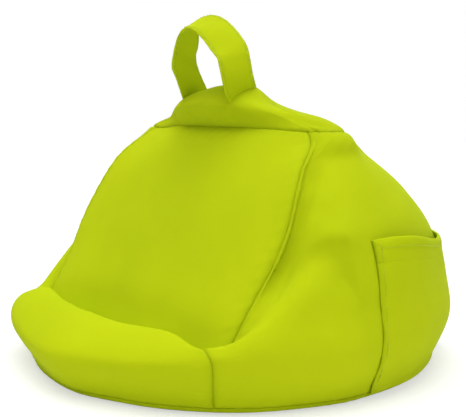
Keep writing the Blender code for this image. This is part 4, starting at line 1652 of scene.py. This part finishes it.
@dataclass
class ClosingZip:
    """The closing zip low on the back: its tapes, coil and stops."""

    cover: Cover
    level: float
    tape_width: float = 0.0085
    tape_thick: float = 0.0005
    tape_tuck: float = 0.0006
    tape_drop: float = 0.0015
    chain_width: float = 0.0040
    pitch: float = 0.00145
    tooth: float = 0.00042
    tooth_sides: int = 5
    tooth_path: tuple[tuple[float, float], ...] = (
        (-0.0019, -0.0009), (-0.0012, -0.0001), (0.0000, 0.0002), (0.00045, -0.0002), (0.0000, -0.0006)
    )
    stop_size: Triple = (0.0026, 0.0044, 0.0020)
    stop_inset: float = 0.0022
    probe: float = 0.02

    def build(self) -> None:
        """Make every part of the zip."""
        tapes = (("zip_tape_upper", 1), ("zip_tape_lower", -1))
        self.pieces = {name: self._tape(name, side) for name, side in tapes}
        self.pieces["zip_chain"] = self._coil()
        lines = self._line(400, 0.0)
        for name, at in (("zip_stop_right", self.stop_inset), ("zip_stop_left", lines[0][-1] - self.stop_inset)):
            self.pieces[name] = self._stop(name, *read_at(at, *lines))

    def _offset(self, distance: float, column: Field) -> Field:
        """The levels this far above the zip's line, at each column."""
        above, below = (self.cover.bare(self.level + way * self.probe, column) for way in (1, -1))
        return self.level + distance * 2 * self.probe / np.linalg.norm(above - below, axis=-1)

    def _tape(self, name: str, side: int) -> Piece:
        """One tape, under the slot's upper edge for side 1 or its lower edge for side -1."""
        columns = np.linspace(BACK + 0.012, ROUND - BACK - 0.012, 160)
        steps = np.linspace(0.0, self.tape_width, 8)[::side]
        near = self.chain_width / 2 - self.tape_tuck
        level = np.array([self._offset(side * (near + step), columns) for step in steps])
        outer = self.cover.at(level, columns, -self.tape_drop)
        inner = self.cover.at(level, columns, -self.tape_drop - self.tape_thick)
        across = np.tile(np.linspace(0.0, 0.2, 160), (len(steps), 1))
        along = np.tile(steps[:, None], (1, len(columns)))
        return Sheet(outer, inner, across, along, np.zeros_like(along)).piece(name + "_twill")

    def _line(self, count: int, margin: float) -> tuple[Field, Field, Field, Field]:
        """The zip's line: lengths along it, points on the cover, outward directions and the way along."""
        columns = np.linspace(BACK + margin, ROUND - BACK - margin, count)
        points = self.cover.at(self.level, columns)
        return runs_along(points), points, self.cover.normal(self.level, columns), unit(np.gradient(points, axis=0))

    def _coil(self) -> Piece:
        """The coil: two mirrored rows of bent nylon teeth, each a bent tube, that mesh in the middle."""
        lines = self._line(600, 0.035)
        path = np.array(self.tooth_path)
        knots = np.arange(len(path))
        after, before = np.minimum(knots + 1, knots[-1]), np.maximum(knots - 1, 0)
        teeth = []
        for number in range(int(lines[0][-1] // (self.pitch / 2))):
            centre, out, way = read_at((number + 0.5) * self.pitch / 2, *lines)
            side = np.cross(out, way) * (1 if number % 2 else -1)
            spine = centre + side * path[:, :1] + out * path[:, 1:]
            up = np.cross(unit(spine[after] - spine[before]), way)
            teeth.append(tube(spine, way * 0.8, up, self.tooth, self.tooth_sides))
        return repeated("zip_coil", teeth, tube_faces(len(path), self.tooth_sides))

    def _stop(self, name: str, centre: Field, out: Field, way: Field) -> Piece:
        """One crimped bar at an end of the coil."""
        block = rounded_block(name + "_bar", self.stop_size, (0.0, 0.0, 0.0002), 0.0005)
        rows = np.column_stack([way, np.cross(out, way), out, centre]).tolist()
        block.data.transform(Matrix([*rows, (0.0, 0.0, 0.0, 1.0)]))
        return block

    def dress(self, wardrobe: Wardrobe) -> None:
        """Give the tapes, coil and stops their finishes."""
        for name, piece in self.pieces.items():
            if "tape" in name:
                wardrobe.dress(piece, Slot.TAPE, Body.CUSHION, name, 0.05)
            else:
                wardrobe.dress(piece, Slot.NYLON, Body.CUSHION, name)


def take_up(name: str, place: Matrix, ends: Sequence[Triple]) -> Piece:
    """Name and place the block or rod just added, and pick its end faces in edit mode.

    Args:
        name: The piece's name.
        place: What moves its mesh into place.
        ends: The directions that the faces look in.

    Returns:
        The piece, in edit mode.
    """
    piece = bpy.context.object
    piece.name = piece.data.name = name
    piece.data.transform(place)
    bpy.ops.object.mode_set(mode="EDIT")
    for face in bmesh.from_edit_mesh(piece.data).faces:
        face.select_set(any(face.normal.dot(end) > 0.9 for end in ends))
    bmesh.update_edit_mesh(piece.data)
    return piece


def put_down(piece: Piece) -> Piece:
    """Leave edit mode, shade the piece's flat parts flat and let it go."""
    bpy.ops.object.mode_set(mode="OBJECT")
    bpy.ops.object.shade_smooth_by_angle(angle=SMOOTH_ANGLE)
    piece.select_set(False)
    return piece


def rounded_block(name: str, size: Triple, centre: Triple, round_off: float, pinch: float = 1.0) -> Piece:
    """A block with rounded edges, narrower at its far end where it is pinched.

    Args:
        name: The piece's name.
        size: Its size.
        centre: Its middle.
        round_off: The radius of its edges.
        pinch: The share of its width that is left at the +X end.

    Returns:
        The block, not selected.
    """
    bpy.ops.object.select_all(action="DESELECT")
    bpy.ops.mesh.primitive_cube_add(size=1.0)
    block = take_up(name, Matrix.Translation(centre) @ Matrix.Diagonal((*size, 1.0)), [(1.0, 0.0, 0.0)])
    bpy.ops.transform.resize(value=(1.0, pinch, 1.0), center_override=centre)
    bpy.ops.mesh.select_all(action="SELECT")
    bpy.ops.mesh.bevel(offset=round_off, segments=3, affect="EDGES", profile=0.6)
    return put_down(block)


def rounded_rod(name: str, radius: float, length: float, round_off: float) -> Piece:
    """A rod along Y through the origin, with rounded rims.

    Args:
        name: The piece's name.
        radius: Its radius.
        length: Its length.
        round_off: The radius of its rims.

    Returns:
        The rod, not selected.
    """
    bpy.ops.object.select_all(action="DESELECT")
    bpy.ops.mesh.primitive_cylinder_add(vertices=28, radius=radius, depth=length)
    rod = take_up(name, Matrix.Rotation(math.pi / 2, 4, "X"), [(0.0, 1.0, 0.0), (0.0, -1.0, 0.0)])
    bpy.ops.mesh.bevel(offset=round_off, segments=2, affect="EDGES")
    return put_down(rod)


def cut_away(piece: Piece, cutter: Piece) -> None:
    """Cut a piece with another, which is removed."""
    bpy.ops.object.select_all(action="DESELECT")
    bpy.context.view_layer.objects.active = piece
    piece.select_set(True)
    cut = piece.modifiers.new("cut", "BOOLEAN")
    cut.operation, cut.solver, cut.object = "DIFFERENCE", "EXACT", cutter
    bpy.ops.object.modifier_apply(modifier="cut")
    bpy.data.objects.remove(cutter, do_unlink=True)
    put_down(piece)


@dataclass
class SliderAndPull:
    """The zip's slider on its coil and the pull that swings on the slider's pin, made round the pin."""

    pin: Vector
    axis: Vector
    length: float = 0.0100
    width: float = 0.0090
    plate: float = 0.0014
    plate_foot: float = 0.0020
    wall: float = 0.0007
    wall_inset: float = 0.0029
    ear: float = 0.0008
    ear_length: float = 0.0030
    eye_radius: float = 0.0014
    eye_width: float = 0.0030
    pin_radius: float = 0.0005
    clear: float = 0.0003
    neck: float = 0.0032
    pull_length: float = 0.024
    pull_width: float = 0.0060
    pull_thick: float = 0.0010

    def _place(self) -> Matrix:
        """The slider's own frame: X along the coil, Y across it and Z out of the cover, from its pin."""
        outward = Vector((self.axis.x, self.axis.y, 0.0)).normalized()
        tilt = math.atan2(Vector((self.axis.x, self.axis.y)).length, self.axis.z)
        out = outward * math.cos(tilt) - Vector(UP) * math.sin(tilt)
        across = -self.axis
        turned = Matrix((across.cross(out), across, out)).transposed().to_4x4()
        return Matrix.Translation(self.pin) @ turned

    def build(self) -> None:
        """Make the slider's parts and the pull's parts, then put them in place."""
        self.slider, self.pull = self._slider(), self._pull()
        place = self._place()
        for piece in self.slider + self.pull:
            piece.data.transform(place)

    def _slider(self) -> list[Piece]:
        """The plate, the walls beside the coil, the ears that hold the pin, and the pin."""
        low = -(self.plate_foot + self.plate + self.eye_radius + self.clear)
        plate_middle = low + self.plate_foot + self.plate / 2
        wall_tall = self.plate_foot + self.plate / 2 - self.clear
        ear_tall = 2 * self.eye_radius + self.clear + self.plate / 2
        plate_size = (self.length, self.width, self.plate)
        parts = [rounded_block("slider_plate", plate_size, (0.0, 0.0, plate_middle), 0.0005, pinch=0.72)]
        for side, mark in ((-1, "low"), (1, "high")):
            wall_at = (-0.0002, side * (self.wall_inset + self.wall / 2), low + self.clear + wall_tall / 2)
            ear_at = (0.0, side * (self.eye_width / 2 + self.clear + self.ear / 2), plate_middle + ear_tall / 2)
            wall_size, ear_size = (self.length * 0.9, self.wall, wall_tall), (self.ear_length, self.ear, ear_tall)
            parts.append(rounded_block("slider_wall_" + mark, wall_size, wall_at, 0.00022))
            parts.append(rounded_block("slider_ear_" + mark, ear_size, ear_at, 0.00035))
        pin_length = self.eye_width + 2 * self.clear + 2 * self.ear + 0.0003
        return parts + [rounded_rod("slider_pin", self.pin_radius, pin_length, 0.0001)]

    def _pull(self) -> list[Piece]:
        """The eye on the pin, the stem and the tab with its slot."""
        eye = rounded_rod("pull_eye", self.eye_radius, self.eye_width, 0.0003)
        cut_away(eye, rounded_rod("eye_hole", self.pin_radius + self.clear, 0.01, 0.00005))
        stem_size = (self.neck - 0.0004, self.eye_width * 0.86, self.pull_thick)
        stem_at = ((self.neck + self.eye_radius) / 2 + 0.0001, 0.0, 0.0)
        stem = rounded_block("pull_stem", stem_size, stem_at, 0.0003)
        tab_long = self.pull_length - self.neck
        tab_size = (tab_long, self.pull_width, self.pull_thick)
        tab = rounded_block("pull_tab", tab_size, (self.neck + tab_long / 2, 0.0, 0.0), 0.00035, 0.86)
        slot_at = (self.pull_length - 0.0058, 0.0, 0.0)
        cut_away(tab, rounded_block("tab_slot", (0.0062, 0.0022, 0.01), slot_at, 0.0009))
        return [eye, stem, tab]

    def dress(self, wardrobe: Wardrobe) -> None:
        """Give the metal its finish and the parts their bodies, the first of each standing for the plain one."""
        for body, node, pieces in ((Body.SLIDER, "zip_slider", self.slider), (Body.PULL, "zip_pull", self.pull)):
            for piece in pieces:
                wardrobe.dress(piece, Slot.METAL, body, node if piece is pieces[0] else None)


# --- Floor, light and camera ---


# Each lamp's name, the side that it comes from, its strength and its width in degrees
LAMPS: tuple[tuple[str, Triple, float, float], ...] = (
    ("top_light", (0.00, -0.12, 1.00), 2.50, 50.0),
    ("front_light", (0.20, -1.20, 0.70), 0.36, 70.0),
    ("right_light", (1.20, 0.20, 0.70), 0.55, 70.0),
    ("back_light", (-0.40, 1.00, 0.80), 0.62, 70.0),
)


@dataclass(frozen=True)
class Studio:
    """A plain pale floor, soft lamps and the camera at the photograph's place."""

    camera_place: Triple = (0.4935, -0.3973, 0.1845)
    camera_turn: Triple = (math.radians(83.0), 0.0, math.radians(51.0))
    lens: float = 65.6
    floor_size: float = 6.0
    floor_glow: float = 1.30
    glow_share: float = 0.45
    dim: float = 0.08

    def build(self) -> None:
        """Make the floor, the world, the lamps and the camera."""
        bpy.context.scene.view_settings.view_transform = "Standard"
        self._camera()
        self._floor()
        self._world()
        for lamp in LAMPS:
            self._lamp(*lamp)

    def _camera(self) -> None:
        """The camera, which sees what the photograph shows."""
        data = bpy.data.cameras.new("camera")
        data.lens = self.lens
        data.sensor_width = 36.0
        data.clip_start = 0.01
        camera = bpy.data.objects.new("camera", data)
        camera.location = self.camera_place
        camera.rotation_euler = self.camera_turn
        bpy.context.scene.collection.objects.link(camera)
        bpy.context.scene.camera = camera

    def _floor(self) -> None:
        """A pale floor that the camera sees as white where no shadow falls."""
        bpy.ops.object.select_all(action="DESELECT")
        bpy.ops.mesh.primitive_grid_add(x_subdivisions=8, y_subdivisions=8, size=self.floor_size)
        floor = bpy.context.object
        floor.name = floor.data.name = "studio_floor"
        paint = Paint("studio_floor_white")
        grain = paint.noise(paint.place(), scale=60.0)
        paint.surface({"Base Color": (0.90, 0.90, 0.90), "Roughness": grain * 0.05 + 0.85, "Specular IOR Level": 0.0})
        seen = paint.node("ShaderNodeLightPath", output="Is Camera Ray")
        glow = paint.node("ShaderNodeEmission", values={"Color": (1.0, 1.0, 1.0), "Strength": self.floor_glow})
        surface = Wire(paint, paint.shader.outputs[0])
        mixed = paint.node("ShaderNodeMixShader", values={0: seen * self.glow_share, 1: surface, 2: glow})
        paint.feed(paint.tree.nodes["Material Output"].inputs["Surface"], mixed)
        floor.data.materials.append(paint.material)
        floor.select_set(False)

    def _world(self) -> None:
        """An even light that the camera and gloss see as white."""
        world = bpy.data.worlds.new("studio_world")
        world.use_nodes = True
        nodes, link = world.node_tree.nodes, world.node_tree.links.new
        ray, seen, strength = (nodes.new("ShaderNode" + kind) for kind in ("LightPath", "Math", "Math"))
        seen.operation, strength.operation = "MAXIMUM", "MULTIPLY_ADD"
        link(ray.outputs["Is Camera Ray"], seen.inputs[0])
        link(ray.outputs["Is Glossy Ray"], seen.inputs[1])
        link(seen.outputs[0], strength.inputs[0])
        strength.inputs[1].default_value = 1.0 - self.dim
        strength.inputs[2].default_value = self.dim
        back = nodes["Background"]
        back.inputs["Color"].default_value = (1.0, 1.0, 1.0, 1.0)
        link(strength.outputs[0], back.inputs["Strength"])
        bpy.context.scene.world = world

    def _lamp(self, name: str, place: Triple, strength: float, width: float) -> None:
        """A wide, soft and even light from one side.

        Args:
            name: Its name.
            place: The side that it comes from.
            strength: How strong it is.
            width: How wide it is in degrees, which softens its shadows.
        """
        data = bpy.data.lights.new(name, "SUN")
        data.energy = strength
        data.angle = math.radians(width)
        lamp = bpy.data.objects.new(name, data)
        lamp.location = place
        lamp.rotation_euler = (-Vector(place)).to_track_quat("-Z", "Y").to_euler()
        bpy.context.scene.collection.objects.link(lamp)


def main() -> None:
    """Load the frame, build and dress every sub-assembly, and note the sizes."""
    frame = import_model()
    wardrobe = Wardrobe()
    Studio().build()
    cover = Cover(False)
    panels = CoverPanels(cover)
    parts = [panels, BeadBags(cover), SidePocket(cover), CarryingLoop(), ClosingZip(cover, panels.zip_level)]
    swing = next(joint for joint in frame["record"]["behaviour"]["joints"] if joint["name"] == "pull_swing")
    parts.append(SliderAndPull(Vector(swing["pos_m"]), Vector(swing["axis"])))
    for part in parts:
        part.build()
        part.dress(wardrobe)


if __name__ == "__main__":
    main()
